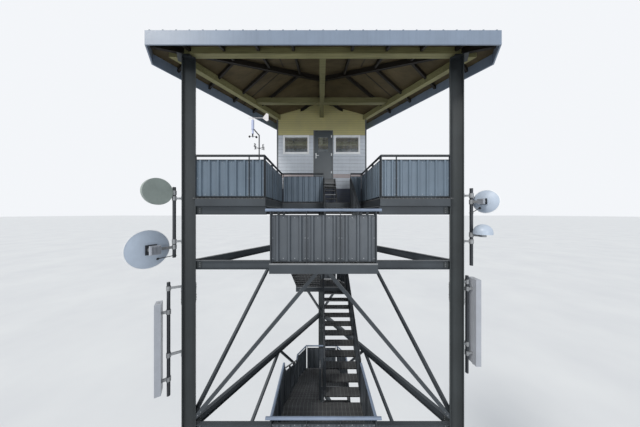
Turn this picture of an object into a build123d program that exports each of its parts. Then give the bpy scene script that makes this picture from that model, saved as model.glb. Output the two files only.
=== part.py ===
from build123d import *
import os
from math import sqrt, tan, radians, atan2, hypot, cos, sin, pi

# Triangular fire lookout tower: three steel legs, a stair inside them, a gallery, a cabin and a hipped roof.
# Millimetres, +Z up, ground at z = 0, origin under the centre of the overall box, stair front towards -Y.

# Legs
leg_spacing = 6900.0        # between leg axes, on each side of the equilateral triangle
leg_size = 300.0            # H section, over the flanges both ways
leg_flange = 19.0
leg_web = 11.0
base_plate_size = 760.0
base_plate_thick = 40.0
anchor_circle = 840.0       # circle through the four anchor holes of a leg
anchor_hole = 16.5          # radius
head_plate_size = 340.0
head_plate_thick = 20.0
head_plate_out = 250.0      # reaches out under the side beams
packer_half = 80.0

# Stair
riser = 175.0
going = 270.0
risers_per_flight = 12
storeys = 7
gallery_risers = 8
tread_thick = 35.0
tread_lap = 20.0
flight_inner = 60.0         # from the centre plane to the inner stringer's face
flight_outer = 1060.0
stringer_thick = 15.0
stringer_depth = 230.0
stringer_over_nosing = 30.0

# Landings
landing_reach = 1135.0      # from the leg line out to the front parapet
landing_half = 1060.0       # half width, to the parapet line
landing_back = 350.0        # from the leg line in to the first riser
rear_landing_depth = 1000.0
rear_landing_clear = 230.0  # from the leg lines to the cut corners, along X
bearer_wide = 80.0          # brackets from the braces to the rear landings
landing_channel = 180.0     # depth of the landing frames
landing_channel_width = 60.0
deck_thick = 30.0

# Ring beams and braces between the legs
ring_depth = 220.0
ring_width = 110.0
ring_flange = 9.2
ring_web = 5.9
brace_size = 90.0
brace_node_rise = 90.0      # brace end above the ring beam at the leg
brace_top_half_gap = 15.0

# Parapets
parapet_height = 1100.0
rail_radius = 30.0
rail_sides = 12
post_width = 12.0           # uprights are flat bars, edge on to the parapet
post_depth = 60.0
sheet_thick = 35.0          # over the ribs
sheet_side_gap = 5.0
sheet_bottom_gap = 30.0
sheet_top_gap = 70.0        # between the sheet and the underside of the rail
strip_high = 12.0           # strips that hold the sheets top and bottom
strip_deep = 36.0
corner_gap = 2.0            # between the frames of neighbouring parapets
rail_overhang = 110.0       # front rails run on past the end uprights
stair_rise = 920.0          # stair parapets above the stringers
stair_rail_radius = 21.0
stair_trim = 25.0           # stair parapets stop short of the landings
bay_share = 0.325           # inner uprights of a front parapet, as a share of its half width

# Gallery
well_half = 1455.0          # half width of the stair well, to the inner parapets
front_edge_out = 100.0      # gallery front edge, outside the leg line
side_edge_out = 270.0       # gallery sides, cabin sides and side roof beams, outside the leg lines
deck_leg_gap = 5.0
gallery_side_back = 240.0   # side parapets and channels start this far behind the leg line
gallery_front_in = 215.0    # front parapets and channels end this far from the leg axis
joist_pitch = 700.0
joist_width = 50.0

# Cabin
cabin_front_back = 3330.0   # front wall behind the leg line
cabin_floor_rise = 1050.0   # above the gallery deck
cabin_floor_thick = 160.0
wall_thick = 100.0
door_width = 830.0
door_height = 2070.0
door_offset = 68.0          # door centre, to the right of the tower's middle
door_frame = 45.0
door_pane_width = 420.0
door_pane_height = 600.0
door_pane_top = 240.0       # below the top of the leaf
window_width = 1100.0
window_height = 790.0
window_sill = 1070.0
window_middle = 1080.0      # window centres from the tower's middle
side_window_along = 1250.0  # side window centre from the front corner, along the wall
window_frame = 70.0
pane_thick = 24.0
leaf_thick = 45.0
door_glass = 8.0
handle_in = 60.0            # handle axis from the leaf's edge
hinge_radius = 8.0
hinge_plate = 4.0
hinge_heights = (250.0, 1000.0, 1770.0)
trim_wide = 60.0            # grey trims on the cabin's front corners
trim_thick = 12.0
cabin_rear_gap = 5.0        # between the rear wall and the rear leg
step_count = 6              # cabin steps, with the floor as the last rise
step_going = 180.0
step_half = 480.0
step_stringer = 30.0
frame_proud = 15.0
step_over_nosing = 30.0
step_stringer_low = 220.0
leaf_gap = 3.0
leaf_setback = 20.0
handle_rise = 1000.0

# Roof
eave_overhang = 710.0
corner_cut = 700.0
roof_pitch = 17.5
roof_skin = 45.0
soffit_thick = 12.0
fascia_height = 320.0
fascia_thick = 30.0
beam_width = 170.0
beam_depth = 190.0
side_beam_drop = 90.0       # side beams lie this much under the front beam
beam_above_gallery = 3660.0 # gallery deck to the underside of the front beam
cross_beam_back = 2260.0    # behind the leg line
front_beam_past = 100.0     # beam ends past the leg axes
king_radius = 75.0
hip_width = 80.0
hip_depth = 150.0
jack_width = 60.0
jack_depth = 110.0
jack_first = 740.0          # first rafters each side of an eave's middle
jack_pitch = 880.0
smallest_offcut = 1e5       # cubic millimetres, smaller ends of cut rafters are dropped

# Antennas, places from the leg axis that carries them and heights above the ground
pole_radius = 38.0
upper_pole_out = 310.0      # pole axis from the leg axis, away from the tower
lower_pole_out = {-1: 425.0, 1: 270.0}
lower_pole_turn = {-1: 0.0, 1: 30.0}        # right one is turned towards the side
upper_pole = {-1: (29300.0, 31060.0), 1: (29100.0, 31030.0)}
lower_pole = {-1: (25900.0, 28700.0), 1: (26300.0, 28800.0)}
upper_brackets = {-1: (29700.0, 30780.0), 1: (29700.0, 30850.0)}
lower_brackets = {-1: (26900.0, 28550.0), 1: (27050.0, 28650.0)}
bracket_size = 50.0
bracket_plate = 10.0
bracket_plate_high = 90.0
clamp_rim = 12.0            # clamps stand this far out from a pole
clamp_high = 110.0
arm_wide = 50.0
arm_high = 60.0
dish_wall = 8.0
panel_size = (280.0, 130.0, 2180.0)
panel_out = 131.0
panel_low = {-1: 26050.0, 1: 26550.0}
drum_centre = (-3837.0, -3313.0, 30916.0)
drum_diameter = 618.0
drum_depth = 90.0
drum_azimuth = 117.0        # degrees from +Y towards +X
drum_boss_radius = 70.0
drum_boss_length = 60.0
drum_pole_back = 52.0       # pole axis behind the drum's face
large_dish_centre = (-3975.0, -3361.0, 29565.0)
large_dish_diameter = 900.0
large_dish_depth = 110.0
large_dish_azimuth = -64.4
large_dish_hub = (75.0, 150.0)      # radius and length
small_dish_centre = (3865.0, -3174.0, 30688.0)
small_dish_diameter = 560.0
small_dish_depth = 90.0
small_dish_azimuth = 62.4
small_dish_hub = (45.0, 90.0)
dome_centre = (3825.0, -3193.0, 29900.0)
dome_radius = 195.0
dome_wall_high = 50.0

# Weather station, heights above the gallery deck
weather_mast_radius = 15.0
weather_from_corner = 150.0
weather_behind_rail = 10.0
weather_foot = 500.0
weather_bend = 1610.0
weather_arm = 165.0         # mast axis to the axis of vane and cups
weather_arm_z = 1800.0
sensor_radius = 35.0
sensor_low = 1760.0
sensor_high = 2000.0
collar_radius = 24.0
collar_low = 1650.0
spindle_radius = 6.0
running_gap = 0.05
hub_radius = 16.0
hub_gap = 1.0
vane_z = 2050.0
vane_nose = 110.0
vane_tail_start = 260.0
vane_tail_end = 405.0
vane_plate = 3.0
vane_rod = 7.0
cup_z = 1590.0
cup_hub_half = 20.0
cup_circle = 98.0
cup_mouth = 27.0
cup_wall = 2.0
cup_rod = 4.0
nut_radius = 10.0
nut_high = 12.0
compass_z = 1280.0
compass_arm = 180.0
compass_turn = 60.0
compass_rod = 5.0

# Derived places
root3 = sqrt(3.0)
leg_inradius = leg_spacing / (2 * root3)
roof_inradius = leg_inradius + eave_overhang
rear_reach = 2 * roof_inradius - corner_cut * root3 / 2
front_reach = leg_inradius + landing_reach + landing_channel_width / 2
hub_y = (front_reach - rear_reach) / 2
front_line = hub_y - leg_inradius
rear_leg_y = hub_y + 2 * leg_inradius
storey = 2 * risers_per_flight * riser
top_landing_z = storeys * storey
gallery_z = top_landing_z + gallery_risers * riser
flight_front_y = front_line + landing_back
flight_run = (risers_per_flight - 1) * going
flight_rear_y = flight_front_y + flight_run
gallery_well_y = flight_front_y + (gallery_risers - 1) * going
front_beam_z = gallery_z + beam_above_gallery
side_beam_z = front_beam_z - side_beam_drop
leg_top_z = side_beam_z - head_plate_thick
slope = tan(radians(roof_pitch))
leg_line_under_z = front_beam_z + beam_depth
apex_under_z = leg_line_under_z + leg_inradius * slope
cabin_y = front_line + cabin_front_back
cabin_floor_z = gallery_z + cabin_floor_rise
hub_axis = Axis((0, hub_y, 0), (0, 0, 1))
upright = (Align.CENTER, Align.CENTER, Align.MIN)


# Shapes shared by the pieces

def box(x0, x1, y0, y1, z0, z1):
    """A straight box between two corners."""
    return Pos(x0, y0, z0) * Box(x1 - x0, y1 - y0, z1 - z0, align=(Align.MIN, Align.MIN, Align.MIN))


def plan(points, z0, z1):
    """A flat outline in plan, raised from z0 to z1."""
    outline = Polyline(*points, close=True)
    return Pos(0, 0, z0) * extrude(make_face(outline), amount=z1 - z0, dir=(0, 0, 1))


def across(points, x0, x1):
    """An outline in the Y-Z plane, drawn out along X from x0 to x1."""
    outline = Polyline(*[(x0, y, z) for y, z in points], close=True)
    return extrude(make_face(outline), amount=x1 - x0, dir=(1, 0, 0))


def along_face(points, y0, y1):
    """An outline in the X-Z plane, drawn out along Y from y0 to y1."""
    outline = Polyline(*[(x, y0, z) for x, z in points], close=True)
    return extrude(make_face(outline), amount=y1 - y0, dir=(0, 1, 0))


def wall_panel(start, end, low, high, thick, offset):
    """A vertical panel over a line in plan, with its own low and high edges at both ends."""
    run = hypot(end[0] - start[0], end[1] - start[1])
    along = ((end[0] - start[0]) / run, (end[1] - start[1]) / run)
    side = (along[1], -along[0])
    base = (start[0] + side[0] * offset, start[1] + side[1] * offset)
    tip = (end[0] + side[0] * offset, end[1] + side[1] * offset)
    corners = [(*base, low[0]), (*tip, low[1]), (*tip, high[1]), (*base, high[0])]
    face = make_face(Polyline(*corners, close=True))
    return extrude(face, amount=thick, dir=(side[0], side[1], 0))


def tube(points, radius, sides=rail_sides):
    """A rail of few sides through a list of points, mitred at its corners."""
    path = Polyline(*points) if len(points) > 2 else Line(*points)
    start = Vector(*points[0])
    way = Vector(*points[1]) - start
    level = way.cross(Vector(0, 0, 1)) if abs(way.Z) < 0.99 * way.length else Vector(1, 0, 0)
    ring = RegularPolygon(radius, sides, rotation=180 / sides)
    section = Plane(origin=start, x_dir=level, z_dir=way) * ring
    return sweep(section, path=path, transition=Transition.RIGHT)


def turned(shape, face):
    """A piece of the front face, turned to face 0 (front), 1 (right) or 2 (left)."""
    return shape.rotate(hub_axis, 120 * face)


def joined(shapes):
    """One solid out of pieces that meet."""
    total = shapes[0]
    for shape in shapes[1:]:
        total = total + shape
    return total


def save(name, shapes):
    """Write one node from its solids."""
    solids = []
    for shape in shapes:
        solids.extend(shape.solids())
    export_step(Compound(label=name, children=solids), f"parts/{name}.step")
    print(name, len(solids))


# Legs

def leg_section(z0, z1):
    """H section with its web pointing at the middle of the tower, at the rear leg."""
    half = leg_size / 2
    web = leg_web / 2
    inner = half - leg_flange
    right = [(half, -half), (half, -inner), (web, -inner), (web, inner), (half, inner), (half, half)]
    left = [(-x, y) for x, y in reversed(right)]
    return Pos(0, rear_leg_y, 0) * plan(right + left, z0, z1)


def leg():
    """Rear leg with its base plate, anchor holes and head plate."""
    base = base_plate_size / 2
    foot = box(-base, base, rear_leg_y - base, rear_leg_y + base, 0, base_plate_thick)
    for turn in range(4):
        angle = radians(45 + 90 * turn)
        place = Pos(anchor_circle / 2 * cos(angle), rear_leg_y + anchor_circle / 2 * sin(angle), 0)
        foot = foot - place * Cylinder(anchor_hole, 4 * base_plate_thick)
    head = head_plate_size / 2
    inner, outer = rear_leg_y - leg_size / 2, rear_leg_y + head_plate_out
    cap = box(-head, head, inner, outer, leg_top_z, leg_top_z + head_plate_thick)
    return foot + leg_section(base_plate_thick, leg_top_z) + cap


# Ring beams and braces, drawn on the front face and turned to the others

def leg_clearance(side):
    """The half space behind the inner flange of a front leg, which bars end on."""
    reach = 2000.0
    half = leg_size / 2
    angle = 30 if side < 0 else 150
    turned_block = Rot(0, 0, angle) * box(half - reach, half, -reach, reach, -reach, leg_top_z + reach)
    return Pos(side * leg_spacing / 2, front_line, 0) * turned_block


left_stop = leg_clearance(-1)
right_stop = leg_clearance(1)


def between_legs(shape):
    """Cut a bar of the front face so that its ends lie on the inner flanges."""
    return shape - left_stop - right_stop


def ring_beam(top_z):
    """I section between the two front legs."""
    half = ring_width / 2
    web = ring_web / 2
    low = top_z - ring_depth
    y = front_line
    right = [(y + half, low), (y + half, low + ring_flange), (y + web, low + ring_flange)]
    right += [(y + web, top_z - ring_flange), (y + half, top_z - ring_flange), (y + half, top_z)]
    left = [(2 * y - b, z) for b, z in reversed(right)]
    return between_legs(across(right + left, -leg_spacing / 2, leg_spacing / 2))


def brace_pair(low_z, high_z):
    """Two bars from the legs up to the middle of the beam above."""
    flange_x = leg_spacing / 2 - leg_size / 2 / cos(radians(30))
    rise = high_z - low_z
    angle = atan2(rise, flange_x)
    level = brace_size / 2 / sin(angle)
    inner = brace_top_half_gap
    outer = inner + 2 * level
    back = leg_size
    low_out = high_z - (flange_x + back - inner) * tan(angle)
    low_in = high_z - (flange_x + back - outer) * tan(angle)
    points = [(-inner, high_z), (-outer, high_z), (-flange_x - back, low_in), (-flange_x - back, low_out)]
    half = brace_size / 2
    left = along_face(points, front_line - half, front_line + half)
    left = between_legs(left)
    return [left, left.mirror(Plane.YZ)]


ring_tops = [level * storey - deck_thick - landing_channel for level in range(1, storeys + 1)]
gallery_ring_top = gallery_z - deck_thick - landing_channel


def face_rings(face):
    """All ring beams of one face, the one under the gallery open at the stair well in front."""
    beams = [ring_beam(top) for top in ring_tops]
    high = ring_beam(gallery_ring_top)
    if face == 0:
        well = box(-well_half, well_half, front_line - ring_width, front_line + ring_width, 0, gallery_z)
        beams += (high - well).solids()
    else:
        beams.append(high)
    return [turned(beam, face) for beam in beams]


def face_braces():
    """All braces of one face, storey by storey."""
    bars = []
    feet = [base_plate_thick] + ring_tops[:-1]
    for foot, top in zip(feet, ring_tops):
        bars += brace_pair(foot + brace_node_rise, top - ring_depth)
    return bars


# Stair flights

def treads(foot_y, foot_z, way, count, side):
    """Separate treads between the stringers of one flight."""
    x0 = flight_inner + stringer_thick
    x1 = flight_outer - stringer_thick
    steps = []
    for step in range(1, count):
        front = foot_y + way * (step - 1) * going
        back = front + way * (going + (tread_lap if step < count - 1 else 0))
        top = foot_z + step * riser
        low, high = sorted((front, back))
        solid = box(x0, x1, low, high, top - tread_thick, top)
        steps.append(solid if side > 0 else solid.mirror(Plane.YZ))
    return steps


def stringers(foot_y, foot_z, way, count, side):
    """The two flat stringers of one flight, cut level with the ground at the lowest one."""
    end_y = foot_y + way * (count - 1) * going
    foot_top = foot_z + riser + stringer_over_nosing
    head_top = foot_top + (count - 1) * riser
    foot_low = foot_top - stringer_depth
    head_low = head_top - stringer_depth
    points = [(foot_y, foot_top), (end_y, head_top), (end_y, head_low)]
    if foot_low < 0:
        points += [(foot_y - way * foot_low * going / riser, 0), (foot_y, 0)]
    else:
        points += [(foot_y, foot_low)]
    plates = []
    for x0 in (flight_inner, flight_outer - stringer_thick):
        solid = across(points, x0, x0 + stringer_thick)
        plates.append(solid if side > 0 else solid.mirror(Plane.YZ))
    return plates


def flights():
    """Foot place, direction, risers and side of every flight from the ground to the gallery."""
    rows = []
    for level in range(storeys):
        base = level * storey
        rows.append((flight_front_y, base, 1, risers_per_flight, 1))
        rows.append((flight_rear_y, base + storey / 2, -1, risers_per_flight, -1))
    rows.append((flight_front_y, top_landing_z, 1, gallery_risers, 1))
    return rows


# Landings

def front_landing_frame(z):
    """Channel frame of a front landing: front, sides and the beam that carries the flights."""
    out_y = front_line - landing_reach
    top = z - deck_thick
    low = top - landing_channel
    half = landing_half + landing_channel_width / 2
    inner = half - landing_channel_width
    ring = box(-half, half, out_y - landing_channel_width / 2, flight_front_y, low, top)
    hole_y = (out_y + landing_channel_width / 2, flight_front_y - landing_channel_width)
    hole = box(-inner, inner, *hole_y, low, top)
    return ring - hole


def front_landing_deck(z):
    """Deck plate over the frame, inside the parapet line."""
    out_y = front_line - landing_reach
    half = landing_half + landing_channel_width / 2
    return box(-half, half, out_y - landing_channel_width / 2, flight_front_y, z - deck_thick, z)


def rear_outline(grow=0.0):
    """Rear landing in plan, with its corners cut to follow the leg lines."""
    half = landing_half + landing_channel_width / 2 - grow
    front = flight_rear_y + grow
    back = flight_rear_y + rear_landing_depth - grow
    clear = rear_landing_clear + grow
    knee_y = rear_leg_y - root3 * (half + clear)
    back_half = (rear_leg_y - back) / root3 - clear
    right = [(half, front), (half, knee_y), (back_half, back)]
    return [(-half, front)] + right + [(-back_half, back), (-half, knee_y)]


def rear_landing_bearer(z):
    """Bracket between the right cut corner of a rear landing and the brace beside it."""
    level = int(z // storey)
    foot = ([base_plate_thick] + ring_tops)[level] + brace_node_rise
    head = ring_tops[level] - ring_depth
    middle = z - deck_thick - landing_channel / 2
    flange_x = leg_spacing / 2 - leg_size / 2 / cos(radians(30))
    place = flange_x * (head - middle) / (head - foot)
    inner, outer = brace_size / 2, rear_landing_clear * cos(radians(30))
    block = box(place - bearer_wide / 2, place + bearer_wide / 2, front_line + inner, front_line + outer,
                middle - bearer_wide / 2, middle + bearer_wide / 2)
    return turned(block, 1)


def rear_landing_frame(z):
    """Channel frame of a rear landing with its brackets to the braces."""
    top = z - deck_thick
    low = top - landing_channel
    ring = plan(rear_outline(), low, top) - plan(rear_outline(landing_channel_width), low, top)
    bearer = rear_landing_bearer(z)
    return ring + bearer + bearer.mirror(Plane.YZ)


def rear_landing_deck(z):
    """Deck plate of a rear landing."""
    return plan(rear_outline(), z - deck_thick, z)


# Parapets

def rail_bottom(rise, radius, run, climb):
    """Underside of a rail above the parapet's base, where the rail's lowest flat lies."""
    return rise - radius - radius * cos(pi / rail_sides) * hypot(run, climb) / run


def parapet(start, end, bases, shares, group, rise=parapet_height, radius=rail_radius, rail=True):
    """A straight parapet: uprights at shares of its length, sheets held between strips, a rail on top.

    bases gives the height that it stands on at both ends, so that it can follow a stair.
    """
    run = hypot(end[0] - start[0], end[1] - start[1])

    def spot(t):
        return (start[0] + (end[0] - start[0]) * t / run, start[1] + (end[1] - start[1]) * t / run)

    def piece(t0, t1, low, high, thick):
        heights = [bases[0] + (bases[1] - bases[0]) * t / run for t in (t0, t1)]
        lows = [height + low for height in heights]
        highs = [height + high for height in heights]
        return wall_panel(spot(t0), spot(t1), lows, highs, thick, -thick / 2)

    under_rail = rail_bottom(rise, radius, run, bases[1] - bases[0])
    sheet_top = under_rail - sheet_top_gap
    centres = [post_width / 2 + share * (run - post_width) for share in shares]
    half_post = post_width / 2
    frame = [piece(t - half_post, t + half_post, 0, under_rail, post_depth) for t in centres]
    for left, right in zip(centres, centres[1:]):
        t0, t1 = left + post_width / 2, right - post_width / 2
        low, high = sheet_bottom_gap + strip_high, sheet_top - strip_high
        frame.append(piece(t0, t1, sheet_bottom_gap, low, strip_deep))
        frame.append(piece(t0, t1, high, sheet_top, strip_deep))
        group["sheets"].append(piece(t0 + sheet_side_gap, t1 - sheet_side_gap, low, high, sheet_thick))
    group["frames"].append(joined(frame))
    if rail:
        rail_ends = [(*start, bases[0] + rise - radius), (*end, bases[1] + rise - radius)]
        group["rails"].append(tube(rail_ends, radius))


def new_group():
    """Empty lists for the three kinds of parapet pieces."""
    return {"frames": [], "sheets": [], "rails": []}


def front_landing_parapet(z, group):
    """Front and sides of a front landing, with a front rail that runs on past the corners."""
    out_y = front_line - landing_reach
    half = landing_half
    side_start = out_y + post_depth / 2 + corner_gap
    inner = (1 - bay_share) / 2
    parapet((-half, out_y), (half, out_y), (z, z), (0, inner, 1 - inner, 1), group, rail=False)
    rail_z = z + parapet_height - rail_radius
    reach = half + rail_overhang
    rails = [tube([(-reach, out_y, rail_z), (reach, out_y, rail_z)], rail_radius)]
    for side in (-1, 1):
        x = side * half
        parapet((x, side_start), (x, flight_front_y), (z, z), (0, 0.5, 1), group, rail=False)
        rails.append(tube([(x, out_y, rail_z), (x, flight_front_y, rail_z)], rail_radius))
    group["rails"].append(joined(rails))


def rear_landing_parapet(z, group):
    """Sides, cut corners and back of a rear landing."""
    outline = rear_outline(landing_channel_width / 2)
    start = flight_rear_y
    points = [(outline[1][0], start), outline[2], outline[3], outline[4], outline[5], (outline[0][0], start)]
    for a, b in zip(points, points[1:]):
        run = hypot(b[0] - a[0], b[1] - a[1])
        trim = post_depth / 2 + post_width
        way = ((b[0] - a[0]) / run, (b[1] - a[1]) / run)
        p = a if a == points[0] else (a[0] + way[0] * trim, a[1] + way[1] * trim)
        q = b if b == points[-1] else (b[0] - way[0] * trim, b[1] - way[1] * trim)
        parapet(p, q, (z, z), (0, 1), group, rail=False)
    rail_z = z + parapet_height - rail_radius
    group["rails"].append(tube([(x, y, rail_z) for x, y in points], rail_radius))


def flight_parapets(foot_y, foot_z, way, count, side, group):
    """Parapets on both stringers of a flight, ending just short of the landings."""
    run = (count - 1) * going
    low = foot_z + riser + stringer_over_nosing
    ends = []
    for t in (stair_trim, run - stair_trim):
        ends.append((foot_y + way * t, low + t * riser / going))
    for x in (flight_inner + stringer_thick / 2, flight_outer - stringer_thick / 2):
        start, end = (side * x, ends[0][0]), (side * x, ends[1][0])
        bases = (ends[0][1], ends[1][1])
        parapet(start, end, bases, (0.02, 0.34, 0.66, 0.98), group, stair_rise, stair_rail_radius)


# Gallery

def half_width(y, out):
    """Half width in plan of the triangle of leg lines moved out, at a place y."""
    return (rear_leg_y - y) / root3 + out * 2 / root3


gallery_front_y = front_line - front_edge_out
gallery_front_end = leg_spacing / 2 - gallery_front_in
gallery_side_y = front_line + gallery_side_back
deck_rear_y = rear_leg_y - leg_size / 2 - cabin_rear_gap


def gallery_outline():
    """Half of the gallery's outer edge in plan, from the front middle round to the back."""
    leg_x = leg_spacing / 2
    side_x = half_width(gallery_side_y, side_edge_out)
    back_x = half_width(deck_rear_y, side_edge_out)
    return [(leg_x, gallery_front_y), (leg_x, front_line), (side_x, gallery_side_y), (back_x, deck_rear_y)]


def leg_block(low, high, gap):
    """Room that the legs take, as square posts turned with the legs."""
    half = leg_size / 2 + gap
    rear = box(-half, half, rear_leg_y - half, rear_leg_y + half, low, high)
    return [rear, rear.rotate(hub_axis, 120), rear.rotate(hub_axis, -120)]


def gallery_plate(low, high):
    """Gallery area in plan, less the stair well and the legs."""
    right = gallery_outline()
    plate = plan(right + [(-x, y) for x, y in reversed(right)], low, high)
    plate = plate - box(-well_half, well_half, gallery_front_y - 1, gallery_well_y, low - 1, high + 1)
    for block in leg_block(low - 1, high + 1, deck_leg_gap):
        plate = plate - block
    return plate


def gallery_frame():
    """Edge channels round both wings and the well, with joists to the sides and behind the well."""
    top = gallery_z - deck_thick
    low = top - landing_channel
    wide = landing_channel_width
    front_y, well_y = gallery_front_y, gallery_well_y
    bars = [box(well_half, gallery_front_end, front_y, front_y + wide, low, top)]
    bars.append(box(well_half, well_half + wide, front_y, well_y + wide, low, top))
    bars.append(box(0, well_half + wide, well_y, well_y + wide, low, top))
    a = (half_width(gallery_side_y, side_edge_out), gallery_side_y)
    b = (half_width(deck_rear_y, side_edge_out), deck_rear_y)
    bars.append(wall_panel(b, a, (low, low), (top, top), wide, 0))
    y = front_line + joist_pitch
    while y < deck_rear_y - joist_width:
        out_x = half_width(y + joist_width, side_edge_out - wide / 2)
        in_x = well_half if y < well_y + wide else 0
        bars.append(box(in_x, out_x, y, y + joist_width, low, top))
        y += joist_pitch
    right = joined(bars)
    return right + right.mirror(Plane.YZ)


def gallery_parapets(group):
    """Front, inner, cross and side parapets of the gallery."""
    inset = post_depth / 2
    z = gallery_z
    bases = (z, z)
    front_y = gallery_front_y + inset
    inner_x = well_half + inset
    cross_y = gallery_well_y + inset
    inner_start = front_y + inset + corner_gap
    inner_end = cross_y - inset - corner_gap
    rail_z = z + parapet_height - rail_radius
    for side in (-1, 1):
        front_x = side * gallery_front_end
        end_x = flight_inner if side < 0 else flight_outer
        parapet((side * inner_x, front_y), (front_x, front_y), bases, (0, 0.22, 1), group, rail=False)
        inner_ends = [(side * inner_x, inner_start), (side * inner_x, inner_end)]
        parapet(*inner_ends, bases, (0, 0.34, 0.67, 1), group, rail=False)
        parapet((side * well_half, cross_y), (end_x, cross_y), bases, (0.02, 1), group, rail=False)
        corners = [(front_x, front_y), (side * inner_x, front_y), (side * inner_x, cross_y), (end_x, cross_y)]
        group["rails"].append(tube([(x, y, rail_z) for x, y in corners], rail_radius))
        out = side_edge_out - inset
        end_y = cabin_y - trim_thick - inset - corner_gap
        a = (side * half_width(gallery_side_y, out), gallery_side_y)
        b = (side * half_width(end_y, out), end_y)
        parapet(a, b, bases, (0, 0.25, 0.5, 0.75, 1), group)


# Roof

def pyramid(apex_z, base_z):
    """Three-sided pyramid with the roof's pitch."""
    inradius = (apex_z - base_z) / slope
    corners = []
    for turn in range(3):
        angle = radians(90 + 120 * turn)
        corners.append((2 * inradius * cos(angle), hub_y + 2 * inradius * sin(angle), base_z))
    apex = (0, hub_y, apex_z)
    faces = [make_face(Polyline(*corners, close=True)).face()]
    for a, b in zip(corners, corners[1:] + corners[:1]):
        faces.append(make_face(Polyline(a, b, apex, close=True)).face())
    return Solid(Shell(faces))


def eave_outline(inset):
    """Roof outline in plan, a triangle with its corners cut."""
    inradius = roof_inradius - inset
    cut = corner_cut - inset * 2 / root3
    points = []
    for turn in range(3):
        angle = radians(90 + 120 * turn)
        corner = (2 * inradius * cos(angle), 2 * inradius * sin(angle))
        for way in (angle - radians(150), angle + radians(150)):
            points.append((corner[0] + cut * cos(way), hub_y + corner[1] + cut * sin(way)))
    return points


eave_under_z = apex_under_z - roof_inradius * slope
skin_rise = roof_skin / cos(radians(roof_pitch))
soffit_rise = soffit_thick / cos(radians(roof_pitch))
under_roof = pyramid(apex_under_z, gallery_z)


def roof_layer(low_apex, high_apex):
    """The part of the roof between two parallel pyramids, inside the fascia."""
    outline = plan(eave_outline(fascia_thick), eave_under_z - 500, apex_under_z + 500)
    return outline & pyramid(high_apex, gallery_z) - pyramid(low_apex, gallery_z - 1000)


def fascia():
    """Deep edge plate round the roof."""
    top = eave_under_z + soffit_rise + skin_rise
    low = top - fascia_height
    return plan(eave_outline(0), low, top) - plan(eave_outline(fascia_thick), low, top)


def side_beam(side):
    """Perimeter beam over one side, outside the leg line, mitred at the back."""
    y = hub_y - leg_inradius - side_edge_out
    half = beam_width / 2
    bar = box(-2 * leg_spacing, 2 * leg_spacing, y - half, y + half, side_beam_z, side_beam_z + beam_depth)
    bar = turned(bar, 1)
    bar = bar & box(0, 2 * leg_spacing, front_line - half, 2 * leg_spacing, 0, apex_under_z)
    bar = bar & under_roof
    return bar if side > 0 else bar.mirror(Plane.YZ)


def front_beam():
    """Perimeter beam over the front legs."""
    half = beam_width / 2
    reach = leg_spacing / 2 + front_beam_past
    bar = box(-reach, reach, front_line - half, front_line + half, front_beam_z, front_beam_z + beam_depth)
    return bar & under_roof


def tie_beams():
    """Middle beam back to the cabin, and the cross beam in two halves."""
    half = beam_width / 2
    top = front_beam_z + beam_depth
    middle = box(-half, half, front_line + half, cabin_y, front_beam_z, top)
    y0 = front_line + cross_beam_back - half
    y1 = front_line + cross_beam_back + half
    inner = side_edge_out - half
    points = [(half, y0), (half_width(y0, inner), y0), (half_width(y1, inner), y1), (half, y1)]
    cross = plan(points, front_beam_z, top) & under_roof
    king = Pos(0, hub_y, top) * Cylinder(king_radius, 2 * leg_spacing, align=upright)
    return [middle, cross, cross.mirror(Plane.YZ)], king & under_roof


def packer(side):
    """Steel packer from a front leg's head plate up to the front beam."""
    low = leg_top_z + head_plate_thick
    middle = side * leg_spacing / 2
    y0, y1 = front_line - packer_half, front_line + packer_half
    return box(middle - packer_half, middle + packer_half, y0, y1, low, front_beam_z)


def hip_rafters(blocks):
    """Three rafters under the hips, their backs cut to the roof, in lengths between the beams."""
    top = pyramid(apex_under_z - hip_depth, gallery_z - 1000)
    end = 2 * roof_inradius - corner_cut * root3 / 2 - fascia_thick
    bar = box(-hip_width / 2, hip_width / 2, hub_y, hub_y + end, gallery_z, apex_under_z + 100)
    bar = (bar & under_roof) - top - Pos(0, hub_y, 0) * Cylinder(king_radius, 4 * apex_under_z)
    cut = []
    for turn in range(3):
        rafter = bar.rotate(hub_axis, 120 * turn)
        for block in blocks:
            rafter = rafter - block
        cut += [solid for solid in rafter.solids() if solid.volume > smallest_offcut]
    return cut


def jack_rafters(blocks):
    """Rafters square to each eave, up to the hips, cut round the beams that they cross."""
    low = pyramid(apex_under_z - jack_depth, gallery_z - 1000)
    rafters = []
    place = jack_first
    while place < roof_inradius * root3 - corner_cut - jack_width:
        start = place / root3 + hip_width
        for side in (-1, 1):
            x = side * place
            far = hub_y - roof_inradius + fascia_thick
            half = jack_width / 2
            bar = box(x - half, x + half, far, hub_y - start, gallery_z, apex_under_z + 100)
            rafters.append((bar & under_roof) - low)
        place += jack_pitch
    cut = []
    for turn in range(3):
        for rafter in rafters:
            piece = turned(rafter, turn)
            for block in blocks:
                piece = piece - block
            cut += [solid for solid in piece.solids() if solid.volume > smallest_offcut]
    return cut


# Cabin

outer_out = side_edge_out + wall_thick / 2
inner_out = side_edge_out - wall_thick / 2
cabin_rear_y = rear_leg_y - leg_size / 2 - cabin_rear_gap


def cross_wall(y0, y1):
    """Wall across the cabin, between the side walls, up to the roof."""
    points = [(half_width(y0, inner_out), y0), (half_width(y1, inner_out), y1)]
    points += [(-half_width(y1, inner_out), y1), (-half_width(y0, inner_out), y0)]
    return plan(points, gallery_z, apex_under_z + 100) & under_roof


def side_wall():
    """Right side wall under the side beam."""
    y0, y1 = cabin_y, cabin_rear_y
    points = [(half_width(y0, outer_out), y0), (half_width(y1, outer_out), y1)]
    points += [(half_width(y1, inner_out), y1), (half_width(y0, inner_out), y0)]
    return plan(points, gallery_z, side_beam_z)


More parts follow.
